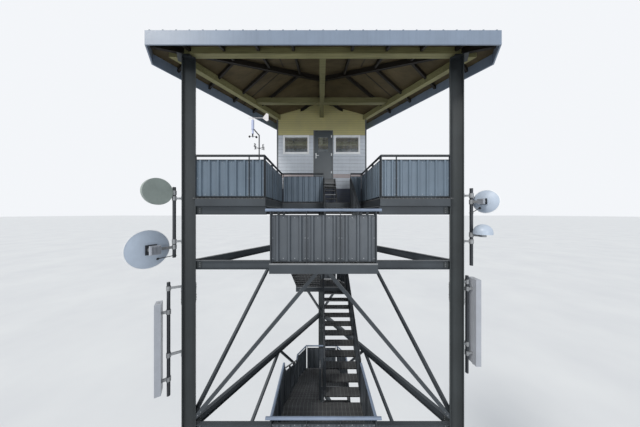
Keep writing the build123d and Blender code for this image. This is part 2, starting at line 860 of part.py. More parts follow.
def window_hole():
    """Room of one window, centred on its wall's outer face."""
    half = window_width / 2
    low = cabin_floor_z + window_sill
    return box(-half, half, -wall_thick, 2 * wall_thick, low, low + window_height)


def window_ring():
    """White window frame, standing a little proud of the wall."""
    half = window_width / 2
    low = cabin_floor_z + window_sill
    bar = window_frame
    ring = box(-half, half, -frame_proud, wall_thick, low, low + window_height)
    high = low + window_height
    return ring - box(-half + bar, half - bar, -wall_thick, 2 * wall_thick, low + bar, high - bar)


def window_pane():
    """Glass unit filling the frame."""
    half = window_width / 2 - window_frame
    low = cabin_floor_z + window_sill + window_frame
    middle = wall_thick / 2
    high = low + window_height - 2 * window_frame
    return box(-half, half, middle - pane_thick / 2, middle + pane_thick / 2, low, high)


def window_places():
    """Two windows in front and one in each side wall."""
    along = side_window_along
    x = half_width(cabin_y, outer_out) - along / 2
    y = cabin_y + along * root3 / 2
    front = [Pos(-window_middle, cabin_y, 0), Pos(window_middle, cabin_y, 0)]
    return front + [Pos(x, y, 0) * Rot(0, 0, 120), Pos(-x, y, 0) * Rot(0, 0, 240)]


door_x0 = door_offset - door_width / 2
door_x1 = door_offset + door_width / 2
door_top = cabin_floor_z + door_height


def door_parts():
    """Frame, leaf, pane and furniture of the closed cabin door."""
    bar = door_frame
    low, high = cabin_floor_z + bar, door_top - bar
    opening = box(door_x0, door_x1, cabin_y - frame_proud, cabin_y + wall_thick, cabin_floor_z, door_top)
    depth = (cabin_y - wall_thick, cabin_y + 2 * wall_thick)
    frame = opening - box(door_x0 + bar, door_x1 - bar, *depth, low, high)
    x0, x1 = door_x0 + bar + leaf_gap, door_x1 - bar - leaf_gap
    face = cabin_y + leaf_setback
    back = face + leaf_thick
    leaf = box(x0, x1, face, back, low + leaf_gap, high - leaf_gap)
    pane_high = high - leaf_gap - door_pane_top
    pane_low = pane_high - door_pane_height
    half = door_pane_width / 2
    leaf = leaf - box(door_offset - half, door_offset + half, face - bar, back + bar, pane_low, pane_high)
    middle = (face + back) / 2
    glass = door_glass / 2
    pane = box(door_offset - half, door_offset + half, middle - glass, middle + glass, pane_low, pane_high)
    hx, hz = x0 + handle_in, cabin_floor_z + handle_rise
    rose = box(hx - 20, hx + 20, face - 6, face, hz - 110, hz + 110)
    stem = box(hx - 9, hx + 9, face - 51, face - 6, hz - 9, hz + 9)
    lever = box(hx - 9, hx + 125, face - 69, face - 51, hz - 9, hz + 9)
    furniture = [rose + stem + lever]
    for height in hinge_heights:
        z = cabin_floor_z + height
        knuckle = Pos(x1 - hinge_radius, face - hinge_radius, z) * Cylinder(hinge_radius, 100, align=upright)
        plate = box(x1 - 5 * hinge_radius, x1 + leaf_gap, face - hinge_plate, face, z, z + 100)
        furniture.append(knuckle + plate)
    return frame, leaf, pane, furniture


def cabin_steps():
    """Steps from the gallery to the cabin door, joined by their two stringers."""
    x0, x1 = door_offset - step_half, door_offset + step_half
    low_y = cabin_y - (step_count - 1) * step_going
    pieces = []
    for count in range(1, step_count):
        y = low_y + (count - 1) * step_going
        back = min(y + step_going + tread_lap, cabin_y)
        top = gallery_z + count * riser
        pieces.append(box(x0, x1, y, back, top - tread_thick, top))
    points = [(low_y, gallery_z), (low_y, gallery_z + riser + step_over_nosing)]
    points += [(cabin_y, cabin_floor_z + step_over_nosing), (cabin_y, cabin_floor_z - step_stringer_low)]
    points.append((low_y + step_stringer_low, gallery_z))
    pieces += [across(points, x0 - step_stringer, x0), across(points, x1, x1 + step_stringer)]
    return joined(pieces)


def cabin_trims():
    """Upright trims on the cabin's front corners."""
    x = half_width(cabin_y, outer_out)
    trim = box(x - trim_wide, x, cabin_y - trim_thick, cabin_y, gallery_z, side_beam_z)
    return [trim, trim.mirror(Plane.YZ)]


# Antennas, placed from the leg that carries them

def pole_place(side, out, turn=0.0):
    """Antenna pole axis in plan, out from a front leg, turned from straight out towards the side."""
    angle = radians(30 - turn)
    return (side * (leg_spacing / 2 + out * cos(angle)), front_line - out * sin(angle))


def upper_place(side):
    """Axis of an upper pole."""
    return pole_place(side, upper_pole_out)


def lower_place(side):
    """Axis of a lower pole."""
    return pole_place(side, lower_pole_out[side], lower_pole_turn[side])


def pole(place, heights):
    """One antenna pole."""
    length = heights[1] - heights[0]
    return Pos(*place, heights[0]) * Cylinder(pole_radius, length, align=upright)


def pole_room(place, z):
    """The part of a pole that a clamp goes round."""
    return Pos(*place, z) * Cylinder(pole_radius, 4 * clamp_high)


def clamp(place, z):
    """Collar that holds a pole, before the pole's room is taken out."""
    return Pos(*place, z) * Cylinder(pole_radius + clamp_rim, clamp_high)


def bracket(side, place, z):
    """Arm from a leg to a pole, with a plate on the leg's outer flange and a clamp on the pole."""
    half = bracket_size / 2
    leg_x = side * leg_spacing / 2
    run = hypot(place[0] - leg_x, place[1] - front_line)
    facing = atan2(place[1] - front_line, place[0] - leg_x)
    arm = box(0, run, -half, half, z - half, z + half)
    arm = Pos(leg_x, front_line, 0) * Rot(0, 0, facing * 180 / pi) * arm
    face = leg_size / 2
    half_high = bracket_plate_high / 2
    plate = box(face, face + bracket_plate, -face, face, z - half_high, z + half_high)
    plate = Pos(leg_x, front_line, 0) * Rot(0, 0, -30 if side > 0 else 210) * plate
    leg_room = leg_block(z - leg_size, z + leg_size, 0)[2 if side > 0 else 1]
    return arm + plate + clamp(place, z) - leg_room - pole_room(place, z)


def level_arm(start, end, z):
    """Flat arm between two places in plan."""
    return wall_panel(start, end, (z - arm_high / 2,) * 2, (z + arm_high / 2,) * 2, arm_wide, -arm_wide / 2)


def bowl(diameter, depth):
    """Dish shell opening along +Z with its back at the origin, and the room that it encloses."""
    radius = diameter / 2
    thin = dish_wall
    outer = [(radius * step / 6, depth * (step / 6) ** 2) for step in range(7)]
    inner = [((radius - thin) * step / 6, thin + (depth - thin) * (step / 6) ** 2) for step in range(7)]
    shell = make_face(Polyline(*outer, *reversed(inner), close=True))
    filled = make_face(Polyline(*outer, (0, depth), close=True))
    return revolve(Plane.XZ * shell, Axis.Z), revolve(Plane.XZ * filled, Axis.Z)


def aimed(point, azimuth):
    """Place with +Z level and aimed along an azimuth, degrees from +Y towards +X."""
    return Pos(*point) * Rot(0, 0, -azimuth) * Rot(-90, 0, 0)


def behind(point, azimuth, back):
    """Place in plan behind a point, against an azimuth."""
    angle = radians(azimuth)
    return (point[0] - back * sin(angle), point[1] - back * cos(angle))


def dish(place, diameter, depth, centre, azimuth, hub):
    """A dish, and its mount: a hub behind it with an arm and a clamp on the pole."""
    seat = aimed(centre, azimuth)
    shell, filled = bowl(diameter, depth)
    radius, length = hub
    z = centre[2]
    body = seat * Pos(0, 0, -length) * Cylinder(radius, length + depth / 3, align=upright)
    arm = level_arm(behind(centre, azimuth, length * 0.6), place, z)
    mount = body + arm + clamp(place, z) - pole_room(place, z) - seat * filled
    return seat * shell, mount


def drum(place):
    """Flat shrouded antenna, and its mount on the upper left pole."""
    seat = aimed(drum_centre, drum_azimuth)
    align = (Align.CENTER, Align.CENTER, Align.MAX)
    body = seat * Cylinder(drum_diameter / 2, drum_depth, align=align)
    boss = seat * Pos(0, 0, -drum_depth) * Cylinder(drum_boss_radius, drum_boss_length, align=align)
    z = drum_centre[2]
    back = behind(drum_centre, drum_azimuth, drum_depth + drum_boss_length / 2)
    side = behind(place, drum_azimuth, drum_depth + drum_boss_length / 2 - drum_pole_back)
    mount = boss + level_arm(back, side, z) + level_arm(side, place, z) + clamp(place, z)
    return body, mount - body - pole_room(place, z)


def dome(place):
    """Radome on an arm, round above with a short straight wall."""
    x, y, z = dome_centre
    profile = [(0, 0), (dome_radius, 0)]
    for angle in range(0, 90, 15):
        reach, lift = dome_radius * cos(radians(angle)), dome_radius * sin(radians(angle))
        profile.append((reach, dome_wall_high + lift))
    profile.append((0, dome_wall_high + dome_radius))
    body = Pos(x, y, z) * revolve(Plane.XZ * make_face(Polyline(*profile, close=True)), Axis.Z)
    under = z - arm_high / 2
    pad = Pos(x, y, z) * Cylinder(drum_boss_radius, arm_high, align=(Align.CENTER, Align.CENTER, Align.MAX))
    mount = pad + level_arm((x, y), place, under) + clamp(place, under) - pole_room(place, under)
    return body, mount


def panel(side):
    """Panel antenna facing straight out from its pole, and its two clamps."""
    place = lower_place(side)
    wide, thick, high = panel_size
    facing = -30 + lower_pole_turn[side]
    turn = Rot(0, 0, facing if side > 0 else 180 - facing)
    low = panel_low[side]
    body = Pos(*place, 0) * turn * box(panel_out, panel_out + thick, -wide / 2, wide / 2, low, low + high)
    mounts = []
    for z in (low + high * 0.12, low + high * 0.88):
        half_wide, half_high = arm_wide / 2, arm_high / 2
        bar = box(0, panel_out, -half_wide, half_wide, z - half_high, z + half_high)
        arm = Pos(*place, 0) * turn * bar
        mounts.append(arm + clamp(place, z) - pole_room(place, z) - body)
    return body, mounts


# Weather station

weather_x = -(well_half + post_depth / 2 + weather_from_corner)
weather_y = gallery_front_y + post_depth / 2 + rail_radius + weather_behind_rail + weather_mast_radius
unit_x = weather_x - weather_arm


def rod(start, end, radius):
    """A round bar between two points."""
    return tube([start, end], radius, 8)


def weather_mast():
    """Mast with its bent top, two clamps on the parapet and the compass cross."""
    x, y, z = weather_x, weather_y, gallery_z
    bend = [(x, y, z + weather_foot), (x, y, z + weather_bend), (unit_x, y, z + weather_arm_z)]
    mast = tube(bend, weather_mast_radius, 16)
    mast = mast - weather_sensor()
    rail_y = gallery_front_y + post_depth / 2
    rail_z = z + parapet_height - rail_radius
    face = rail_y + rail_radius * cos(pi / rail_sides)
    mast = mast + box(x - 20, x + 20, face, y, rail_z - 7, rail_z + 7)
    sheet_face = rail_y + sheet_thick / 2
    foot_z = z + weather_foot
    mast = mast + box(x - 20, x + 20, sheet_face, y, foot_z, foot_z + 60)
    for turn in range(4):
        angle = radians(compass_turn + 90 * turn)
        tip = (x + compass_arm * cos(angle), y + compass_arm * sin(angle), z + compass_z)
        mast = mast + rod((x, y, z + compass_z), tip, compass_rod)
    return mast


def weather_sensor():
    """Sensor body with its collar and the spindles that vane and cups turn on."""
    seat = Pos(unit_x, weather_y, gallery_z)
    body = Pos(0, 0, sensor_low) * Cylinder(sensor_radius, sensor_high - sensor_low, align=upright)
    collar = Pos(0, 0, collar_low) * Cylinder(collar_radius, sensor_low - collar_low, align=upright)
    low = cup_z - cup_hub_half - hub_gap
    spindle = Pos(0, 0, low - nut_high) * Cylinder(spindle_radius, vane_z - low + nut_high, align=upright)
    nut = Pos(0, 0, low - nut_high) * Cylinder(nut_radius, nut_high, align=upright)
    return seat * (body + collar + spindle + nut)


def wind_vane():
    """Vane with a nose, a tail plate and a capped hub over the upper spindle."""
    seat = Pos(unit_x, weather_y, gallery_z)
    low = sensor_high + hub_gap
    hub = Pos(0, 0, low) * Cylinder(hub_radius, vane_z + 2 * vane_rod - low, align=upright)
    bore_high = vane_z + hub_gap - low + 1
    hub = hub - Pos(0, 0, low - 1) * Cylinder(spindle_radius + running_gap, bore_high, align=upright)
    z = vane_z + vane_rod
    arm = box(-vane_nose, vane_tail_end, -vane_rod, vane_rod, z - vane_rod / 2, z + vane_rod / 2 + hub_gap)
    room = Pos(0, 0, low) * Cylinder(hub_radius, vane_z - low, align=upright)
    points = [(vane_tail_start, z - 12), (vane_tail_start, z + 12), (350, z + 125), (vane_tail_end, z + 100)]
    points += [(vane_tail_end, z - 60), (355, z - 85)]
    plate = Pos(0, -vane_plate / 2, 0) * along_face(points, 0, vane_plate)
    return seat * (hub + (arm - room) + plate)


def wind_cups():
    """Three half-ball cups on arms round a hub on the lower spindle."""
    seat = Pos(unit_x, weather_y, gallery_z + cup_z)
    wheel = Cylinder(hub_radius, 2 * cup_hub_half)
    wide = cup_mouth + cup_wall
    for turn in range(3):
        place = Rot(0, 0, 120 * turn + 40) * Pos(cup_circle, 0, 0)
        shell = Sphere(wide) - Sphere(cup_mouth)
        shell = shell & box(-wide, wide, 0, wide, -wide, wide)
        arm = rod((0, 0, 0), (cup_circle - cup_mouth - cup_wall / 2, 0, 0), cup_rod)
        wheel = wheel + Rot(0, 0, 120 * turn + 40) * arm
        wheel = wheel + place * shell
    return seat * (wheel - Cylinder(spindle_radius + running_gap, 4 * cup_hub_half))


os.makedirs("parts", exist_ok=True)

rear_leg = leg()
save("leg_rear", [rear_leg])
save("leg_left", [rear_leg.rotate(hub_axis, 120) + packer(-1)])
save("leg_right", [rear_leg.rotate(hub_axis, -120) + packer(1)])
rings = []
braces = []
for face in range(3):
    rings += face_rings(face)
    braces += [turned(bar, face) for bar in face_braces()]
save("ring_beams", rings)
save("braces", braces)

steps = []
plates = []
for foot_y, foot_z, way, count, side in flights():
    steps += treads(foot_y, foot_z, way, count, side)
    plates += stringers(foot_y, foot_z, way, count, side)
save("stair_treads", steps)
save("stair_stringers", plates)

front_levels = [level * storey for level in range(1, storeys + 1)]
rear_levels = [(level + 0.5) * storey for level in range(storeys)]
frames = [front_landing_frame(z) for z in front_levels] + [rear_landing_frame(z) for z in rear_levels]
decks = [front_landing_deck(z) for z in front_levels] + [rear_landing_deck(z) for z in rear_levels]
save("landing_frames", frames)
save("landing_decks", decks)
landing = new_group()
for z in front_levels:
    front_landing_parapet(z, landing)
for z in rear_levels:
    rear_landing_parapet(z, landing)
stair = new_group()
for row in flights():
    flight_parapets(*row, stair)
gallery = new_group()
gallery_parapets(gallery)
for name, group in (("landing", landing), ("stair", stair), ("gallery", gallery)):
    save(f"{name}_parapet_frames", group["frames"])
    save(f"{name}_parapet_sheets", group["sheets"])
    save(f"{name}_rails", group["rails"])
save("gallery_frame", [gallery_frame()])
save("gallery_deck", [gallery_plate(gallery_z - deck_thick, gallery_z)])

front = front_beam()
sides = [side_beam(1), side_beam(-1)]
ties, king = tie_beams()
save("roof_front_beam", [front])
save("roof_side_beams", sides)
save("roof_tie_beams", [joined(ties + [king])])
hips = hip_rafters([front] + sides)
save("roof_hip_rafters", hips)
jacks = jack_rafters([front] + sides + ties + hips)
save("roof_jack_rafters", jacks)
save("roof_soffit", [roof_layer(apex_under_z, apex_under_z + soffit_rise)])
save("roof_skin", [roof_layer(apex_under_z + soffit_rise, apex_under_z + soffit_rise + skin_rise)])
save("roof_fascia", [fascia()])

holes = [place * window_hole() for place in window_places()]
front_wall = cross_wall(cabin_y, cabin_y + wall_thick)
doorway_y = (cabin_y - 1, cabin_y + wall_thick + 1)
front_wall = front_wall - box(door_x0, door_x1, *doorway_y, cabin_floor_z, door_top)
for block in holes[:2] + sides + hips + jacks:
    front_wall = front_wall - block
rear_wall = cross_wall(cabin_rear_y - wall_thick, cabin_rear_y)
for block in sides + hips + jacks:
    rear_wall = rear_wall - block
right_wall = side_wall() - holes[2]
save("cabin_front_wall", [front_wall])
save("cabin_rear_wall", [rear_wall])
save("cabin_right_wall", [right_wall])
save("cabin_left_wall", [right_wall.mirror(Plane.YZ)])
y0, y1 = cabin_y + wall_thick, cabin_rear_y - wall_thick
floor_points = [(half_width(y0, inner_out), y0), (half_width(y1, inner_out), y1)]
floor_points += [(-x, y) for x, y in reversed(floor_points)]
save("cabin_floor", [plan(floor_points, cabin_floor_z - cabin_floor_thick, cabin_floor_z)])
save("cabin_corner_trims", cabin_trims())
frame, leaf, door_pane, furniture = door_parts()
save("window_frames", [place * window_ring() for place in window_places()])
save("glass_panes", [place * window_pane() for place in window_places()] + [door_pane])
save("cabin_door_frame", [frame])
save("cabin_door", [leaf])
save("cabin_door_furniture", furniture)
save("cabin_steps", [cabin_steps()])

poles = []
mounts = []
for side in (-1, 1):
    poles += [pole(upper_place(side), upper_pole[side]), pole(lower_place(side), lower_pole[side])]
    mounts += [bracket(side, upper_place(side), z) for z in upper_brackets[side]]
    mounts += [bracket(side, lower_place(side), z) for z in lower_brackets[side]]
left, right = upper_place(-1), upper_place(1)
large_size = (large_dish_diameter, large_dish_depth)
large, large_mount = dish(left, *large_size, large_dish_centre, large_dish_azimuth, large_dish_hub)
small_size = (small_dish_diameter, small_dish_depth)
small, small_mount = dish(right, *small_size, small_dish_centre, small_dish_azimuth, small_dish_hub)
flat, flat_mount = drum(left)
radome, radome_mount = dome(right)
left_panel, left_clamps = panel(-1)
right_panel, right_clamps = panel(1)
mounts += [large_mount, small_mount, flat_mount, radome_mount] + left_clamps + right_clamps
save("antenna_poles", poles)
save("antenna_mounts", mounts)
save("antenna_dishes", [large, small])
save("antenna_drum", [flat])
save("antenna_radome", [radome])
save("antenna_panels", [left_panel, right_panel])
save("weather_mast", [weather_mast()])
save("weather_sensor", [weather_sensor()])
save("wind_vane", [wind_vane()])
save("wind_cups", [wind_cups()])
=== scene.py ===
import math
import bmesh
import bpy
import numpy as np
from bpy.props import FloatProperty, FloatVectorProperty, PointerProperty
from bpy.types import Operator, Panel, PropertyGroup
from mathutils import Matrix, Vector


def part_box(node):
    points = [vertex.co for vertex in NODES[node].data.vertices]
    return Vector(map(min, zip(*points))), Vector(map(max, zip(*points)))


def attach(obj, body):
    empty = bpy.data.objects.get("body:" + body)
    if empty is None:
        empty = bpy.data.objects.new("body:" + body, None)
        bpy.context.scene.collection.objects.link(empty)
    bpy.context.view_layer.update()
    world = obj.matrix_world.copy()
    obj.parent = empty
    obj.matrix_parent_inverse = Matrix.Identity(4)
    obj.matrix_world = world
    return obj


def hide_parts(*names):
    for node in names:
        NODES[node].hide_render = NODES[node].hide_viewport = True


bl_info = {
    "name": "Fire lookout tower",
    "version": (1, 0, 0),
    "blender": (4, 5, 0),
    "location": "View3D > Sidebar > Lookout",
    "description": "Dresses a triangular lookout tower with ribbed sheets, siding and fittings",
    "category": "Add Mesh",
}

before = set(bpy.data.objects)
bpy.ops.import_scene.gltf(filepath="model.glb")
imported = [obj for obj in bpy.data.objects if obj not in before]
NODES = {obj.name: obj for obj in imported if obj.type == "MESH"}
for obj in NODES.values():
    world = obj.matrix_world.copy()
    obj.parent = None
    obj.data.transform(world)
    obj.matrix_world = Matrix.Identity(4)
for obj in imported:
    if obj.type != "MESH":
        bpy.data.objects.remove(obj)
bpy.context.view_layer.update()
TOWER = "tower"
FINISHES = {}


# Places and sizes of the CAD that the pieces follow

def node_box(name):
    """Lowest and highest corner of a CAD node as two arrays."""
    low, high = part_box(name)
    return np.array(low), np.array(high)


def plan_middle(name):
    """Middle of a CAD node in plan."""
    low, high = node_box(name)
    return (low + high)[:2] / 2


def heading(degrees):
    """Unit vector in plan at an angle to X."""
    turn = math.radians(degrees)
    return np.array([math.cos(turn), math.sin(turn)])


def beside(way):
    """Unit vector in plan to the right of a way."""
    return np.array([way[1], -way[0]])


COS_30 = math.cos(math.radians(30))
WINDOW_TOP = node_box("window_frames")[1][2]
GALLERY_Z = node_box("gallery_deck")[1][2]
FLOOR_Z = node_box("cabin_floor")[1][2]
SIDING_FOOT = FLOOR_Z - 0.40
BAND_LOW, BAND_HIGH = FLOOR_Z + 0.06, FLOOR_Z + 0.22
LEG_RIGHT, LEG_REAR = plan_middle("leg_right"), plan_middle("leg_rear")
LEGS = (LEG_RIGHT, LEG_RIGHT * (-1, 1), LEG_REAR)
LEG_HALF = 0.150
HUB = np.array([0.0, LEG_RIGHT[1] + (LEG_REAR[1] - LEG_RIGHT[1]) / 3])
STOREY, STOREYS = 4.2, 7
SPLICE_DROP = 1.05
ANCHOR_RADIUS = 0.42
PLATE_TOP = 0.04
ROOF_PITCH = math.radians(17.5)
ROOF_SLOPE = math.tan(ROOF_PITCH)
SOFFIT_THICK = 0.012
FASCIA_THICK = 0.03
CORNER_CUT = 0.70 - FASCIA_THICK * 2 / math.sqrt(3)


def plan_run(a, b):
    """Length and way of a run in plan, and its side away from the tower's middle axis."""
    run = np.linalg.norm(b - a)
    way = (b - a) / run
    out = beside(way)
    return run, way, -out if out @ ((a + b) / 2 - HUB) < 0 else out


# Mesh building

def square_to(way):
    """Unit vector along a way, and two that are square to it and to each other."""
    way = np.asarray(way, float) / np.linalg.norm(way)
    side = np.cross(way, (0, 0, 1)) if abs(way[2]) < 0.9 else np.array([1.0, 0, 0])
    side /= np.linalg.norm(side)
    return way, side, np.cross(side, way)


def circle(sides):
    """Cosines and sines of even steps round a circle, each as a column."""
    turn = np.arange(sides)[:, None] * 2 * np.pi / sides
    return np.cos(turn), np.sin(turn)


def belt(low, high, sides):
    """Faces between two rings of points, with indices from low on and from high on."""
    return [[low + i, low + (i + 1) % sides, high + (i + 1) % sides, high + i]
            for i in range(sides)]


class Shape:
    """Points and faces of a piece, gathered part by part."""

    def __init__(self):
        self.points = []
        self.faces = []
        self.count = 0

    def add(self, points, faces):
        """Adds an array of points, with its faces as index lists that start at 0."""
        points = np.asarray(points, float).reshape(-1, 3)
        self.points.append(points)
        self.faces += [[i + self.count for i in face] for face in faces]
        self.count += len(points)

    def prism(self, ring, other):
        """Closed body between two rings of one count: a face for each edge, a cap at each end."""
        n = len(ring)
        caps = [list(range(n))[::-1], list(range(n, 2 * n))]
        self.add(np.concatenate([ring, other]), belt(0, n, n) + caps)

    def band(self, front_low, front_high, back_low, back_high):
        """Closed thin sheet: front and back are each ruled from a low line to a high line."""
        n = len(front_low)
        f0, f1, b0, b1 = 0, n, 2 * n, 3 * n
        faces = []
        for i, j in zip(range(n - 1), range(1, n)):
            faces += [[f0 + i, f0 + j, f1 + j, f1 + i], [b0 + j, b0 + i, b1 + i, b1 + j],
                      [f0 + j, f0 + i, b0 + i, b0 + j], [f1 + i, f1 + j, b1 + j, b1 + i]]
        faces += [[f0, f1, b1, b0], [f1 + n - 1, f0 + n - 1, b0 + n - 1, b1 + n - 1]]
        self.add(np.concatenate([front_low, front_high, back_low, back_high]), faces)

    def dome(self, centre, out, radius, rise, sides=8):
        """Round head: rings of radius*cos(t), lifted rise*sin(t) along its way out, flat back."""
        out, side, up = square_to(out)
        cos, sin = circle(sides)
        wheel = cos * side + sin * up
        rings = [np.asarray(centre) + wheel * radius * math.cos(t) + out * rise * math.sin(t)
                 for t in (0.0, 0.6, 1.15)]
        faces = [list(range(sides))[::-1], list(range(2 * sides, 3 * sides))]
        faces += belt(0, sides, sides) + belt(sides, 2 * sides, sides)
        self.add(np.concatenate(rings), faces)

    def ring(self, centre, axis, radius, thick, sides=40, cuts=8):
        """Round bead: radius + thick*cos(v) out on each spoke, thick*sin(v) along the axis."""
        axis, side, up = square_to(axis)
        cos, sin = circle(sides)
        spoke = (cos * side + sin * up)[:, None]
        cos, sin = circle(cuts)
        points = centre + (radius + thick * cos) * spoke + thick * sin * axis
        faces = []
        for i in range(sides):
            here, there = i * cuts, (i + 1) % sides * cuts
            faces += [[here + j, there + j, there + (j + 1) % cuts, here + (j + 1) % cuts]
                      for j in range(cuts)]
        self.add(points, faces)

    def bar(self, start, end, wide, high):
        """Square-edged bar from one point to another, wide across and high upwards."""
        start, end = np.asarray(start, float), np.asarray(end, float)
        _, side, up = square_to(end - start)
        corners = np.array([side * a * wide / 2 + up * b * high / 2
                            for a, b in ((-1, -1), (1, -1), (1, 1), (-1, 1))])
        self.prism(start + corners, end + corners)

    def tube(self, points, radius, sides=10):
        """Round tube on a line of points, with each ring across the mean of the runs that meet."""
        points = np.asarray(points, float)
        ways = np.diff(points, axis=0)
        ways /= np.linalg.norm(ways, axis=1)[:, None]
        mean = np.concatenate([ways[:1], ways[:-1] + ways[1:], ways[-1:]])
        mean /= np.linalg.norm(mean, axis=1)[:, None]
        guide = (0.0, 0.0, 1.0) if abs(mean[:, 2]).max() < 0.9 else (0.31, 0.95, 0.0)
        side = np.cross(mean, guide)
        side /= np.linalg.norm(side, axis=1)[:, None]
        up = np.cross(side, mean)
        cos, sin = circle(sides)
        rings = points[:, None] + radius * (cos * side[:, None] + sin * up[:, None])
        last = (len(points) - 1) * sides
        faces = [list(range(sides))[::-1], list(range(last, last + sides))]
        for start in range(0, last, sides):
            faces += belt(start, start + sides, sides)
        self.add(rings, faces)


def placed(name, data):
    """New object in the scene, at the origin."""
    thing = bpy.data.objects.new(name, data)
    bpy.context.scene.collection.objects.link(thing)
    return thing


def piece(name, shape, finish, replaces=(), smooth=False):
    """Makes one object from a shape, with its faces outwards, and sets it on the tower."""
    mesh = bpy.data.meshes.new(name)
    mesh.from_pydata(np.concatenate(shape.points).tolist(), [], shape.faces)
    work = bmesh.new()
    work.from_mesh(mesh)
    bmesh.ops.recalc_face_normals(work, faces=work.faces)
    work.to_mesh(mesh)
    work.free()
    if smooth:
        mesh.shade_smooth()
    mesh.materials.append(FINISHES[finish])
    thing = placed(name, mesh)
    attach(thing, TOWER)
    if replaces:
        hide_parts(*replaces)


def solids_of(name):
    """Corner points of each separate solid of a CAD node."""
    work = bmesh.new()
    work.from_mesh(NODES[name].data)
    bmesh.ops.remove_doubles(work, verts=work.verts, dist=1e-5)
    seen = set()
    found = []
    for vert in work.verts:
        if vert in seen:
            continue
        seen.add(vert)
        group = [vert]
        for member in group:
            for edge in member.link_edges:
                other = edge.other_vert(member)
                if other not in seen:
                    seen.add(other)
                    group.append(other)
        found.append(np.array([v.co for v in group]))
    work.free()
    return found


def panel_line(corners):
    """Both ends of an upright panel, each with its lowest and highest Z, and its thickness."""
    middle = corners[:, :2].mean(0)
    flat = corners[:, :2] - middle
    way = np.linalg.svd(flat)[2][0]
    along = flat @ way
    ends = []
    for side in (along < 0, along > 0):
        z = corners[side][:, 2]
        ends.append((middle + way * along[side].mean(), z.min(), z.max()))
    return ends[0], ends[1], np.ptp(flat @ beside(way))


# Materials

def feed(value, slot):
    """Links a socket to a slot, or sets a number or a colour there."""
    if isinstance(value, bpy.types.NodeSocket):
        slot.id_data.links.new(value, slot)
    else:
        slot.default_value = (*value, 1) if slot.type == "RGBA" else value


def fill(node, **values):
    """Feeds a node's inputs by their names, with an underscore for each blank."""
    for name, value in values.items():
        feed(value, node.inputs[name.replace("_", " ")])
    return node


def new(tree, kind, **values):
    """New node of a kind, with its inputs fed."""
    return fill(tree.nodes.new("ShaderNode" + kind), **values)


def nodes_of(name):
    """New node material and its object coordinates."""
    material = bpy.data.materials.new(name)
    material.use_nodes = True
    return material, new(material.node_tree, "TexCoord").outputs["Object"]


def finished(material, tone, rough, metal=0.0, bump=None, **more):
    """Sets a material's colour, roughness and metal, and its bump as height, strength, distance."""
    tree = material.node_tree
    if bump:
        height, strength, distance = bump
        node = new(tree, "Bump", Height=height, Strength=strength, Distance=distance)
        more["Normal"] = node.outputs["Normal"]
    fill(tree.nodes["Principled BSDF"], Base_Color=tone, Roughness=rough, Metallic=metal, **more)
    return material


def mapped(coords, scale, turn=0.0):
    """Object coordinates, scaled along each axis after a turn about Z."""
    node = new(coords.id_data, "Mapping", Vector=coords, Rotation=(0, 0, turn), Scale=scale)
    return node.outputs["Vector"]


def noise(vector, scale, detail=4.0, rough=0.6):
    """Value of a noise texture."""
    return new(vector.id_data, "TexNoise", Vector=vector, Scale=scale, Detail=detail,
               Roughness=rough).outputs["Fac"]


def spread(value, low, high, out_low=0.0, out_high=1.0):
    """Straight change of range, held at its ends."""
    return new(value.id_data, "MapRange", Value=value, From_Min=low, From_Max=high,
               To_Min=out_low, To_Max=out_high).outputs["Result"]


def blend(amount, first, second):
    """Colour between two colours or sockets, by a socket's amount."""
    node = new(amount.id_data, "Mix")
    node.data_type = "RGBA"
    slots = [s for s in node.inputs if s.type == "RGBA"]
    for slot, value in zip((node.inputs["Factor"], *slots), (amount, first, second)):
        feed(value, slot)
    return [s for s in node.outputs if s.type == "RGBA"][0]


def maths(kind, first, second):
    """One step of arithmetic."""
    node = new(first.id_data, "Math")
    node.operation = kind
    for slot, value in zip(node.inputs, (first, second)):
        feed(value, slot)
    return node.outputs[0]


def split(coords):
    """The three coordinates apart."""
    return new(coords.id_data, "SeparateXYZ", Vector=coords).outputs


def scaled(colour, factor):
    """Colour times a factor."""
    return tuple(min(1.0, c * factor) for c in colour)


def painted(name, colour, rough=0.5, metal=0.0, wear=0.18, streaks=0.12):
    """Weathered paint: broad mottling, rain streaks that run down, a fine grain in bump."""
    material, coords = nodes_of(name)
    broad = spread(noise(coords, 1.3, 5.0), 0.3, 0.7)
    tone = blend(broad, scaled(colour, 1 - wear), scaled(colour, 1 + wear))
    streak = noise(mapped(coords, (9.0, 9.0, 0.35)), 2.0, 3.0)
    streak = spread(streak, 0.45, 0.75, 0.0, streaks)
    tone = blend(streak, tone, scaled(colour, 0.55))
    fine = spread(noise(coords, 38.0, 3.0), 0.2, 0.8, rough - 0.08, rough + 0.1)
    grain = noise(coords, 120.0, 2.0)
    return finished(material, tone, fine, metal, (grain, 0.12, 0.002))


def galvanised(name, colour):
    """Zinc coat: spangled flakes of two tones, with duller patches."""
    material, coords = nodes_of(name)
    flake = new(coords.id_data, "TexVoronoi", Vector=coords, Scale=45.0).outputs["Distance"]
    tone = blend(spread(flake, 0.0, 0.8), scaled(colour, 1.15), scaled(colour, 0.8))
    dull = spread(noise(coords, 2.2), 0.4, 0.7, 0.0, 0.35)
    tone = blend(dull, tone, scaled(colour, 0.6))
    rough = spread(flake, 0.0, 0.8, 0.45, 0.6)
    return finished(material, tone, rough, 0.55, (flake, 0.1, 0.002))


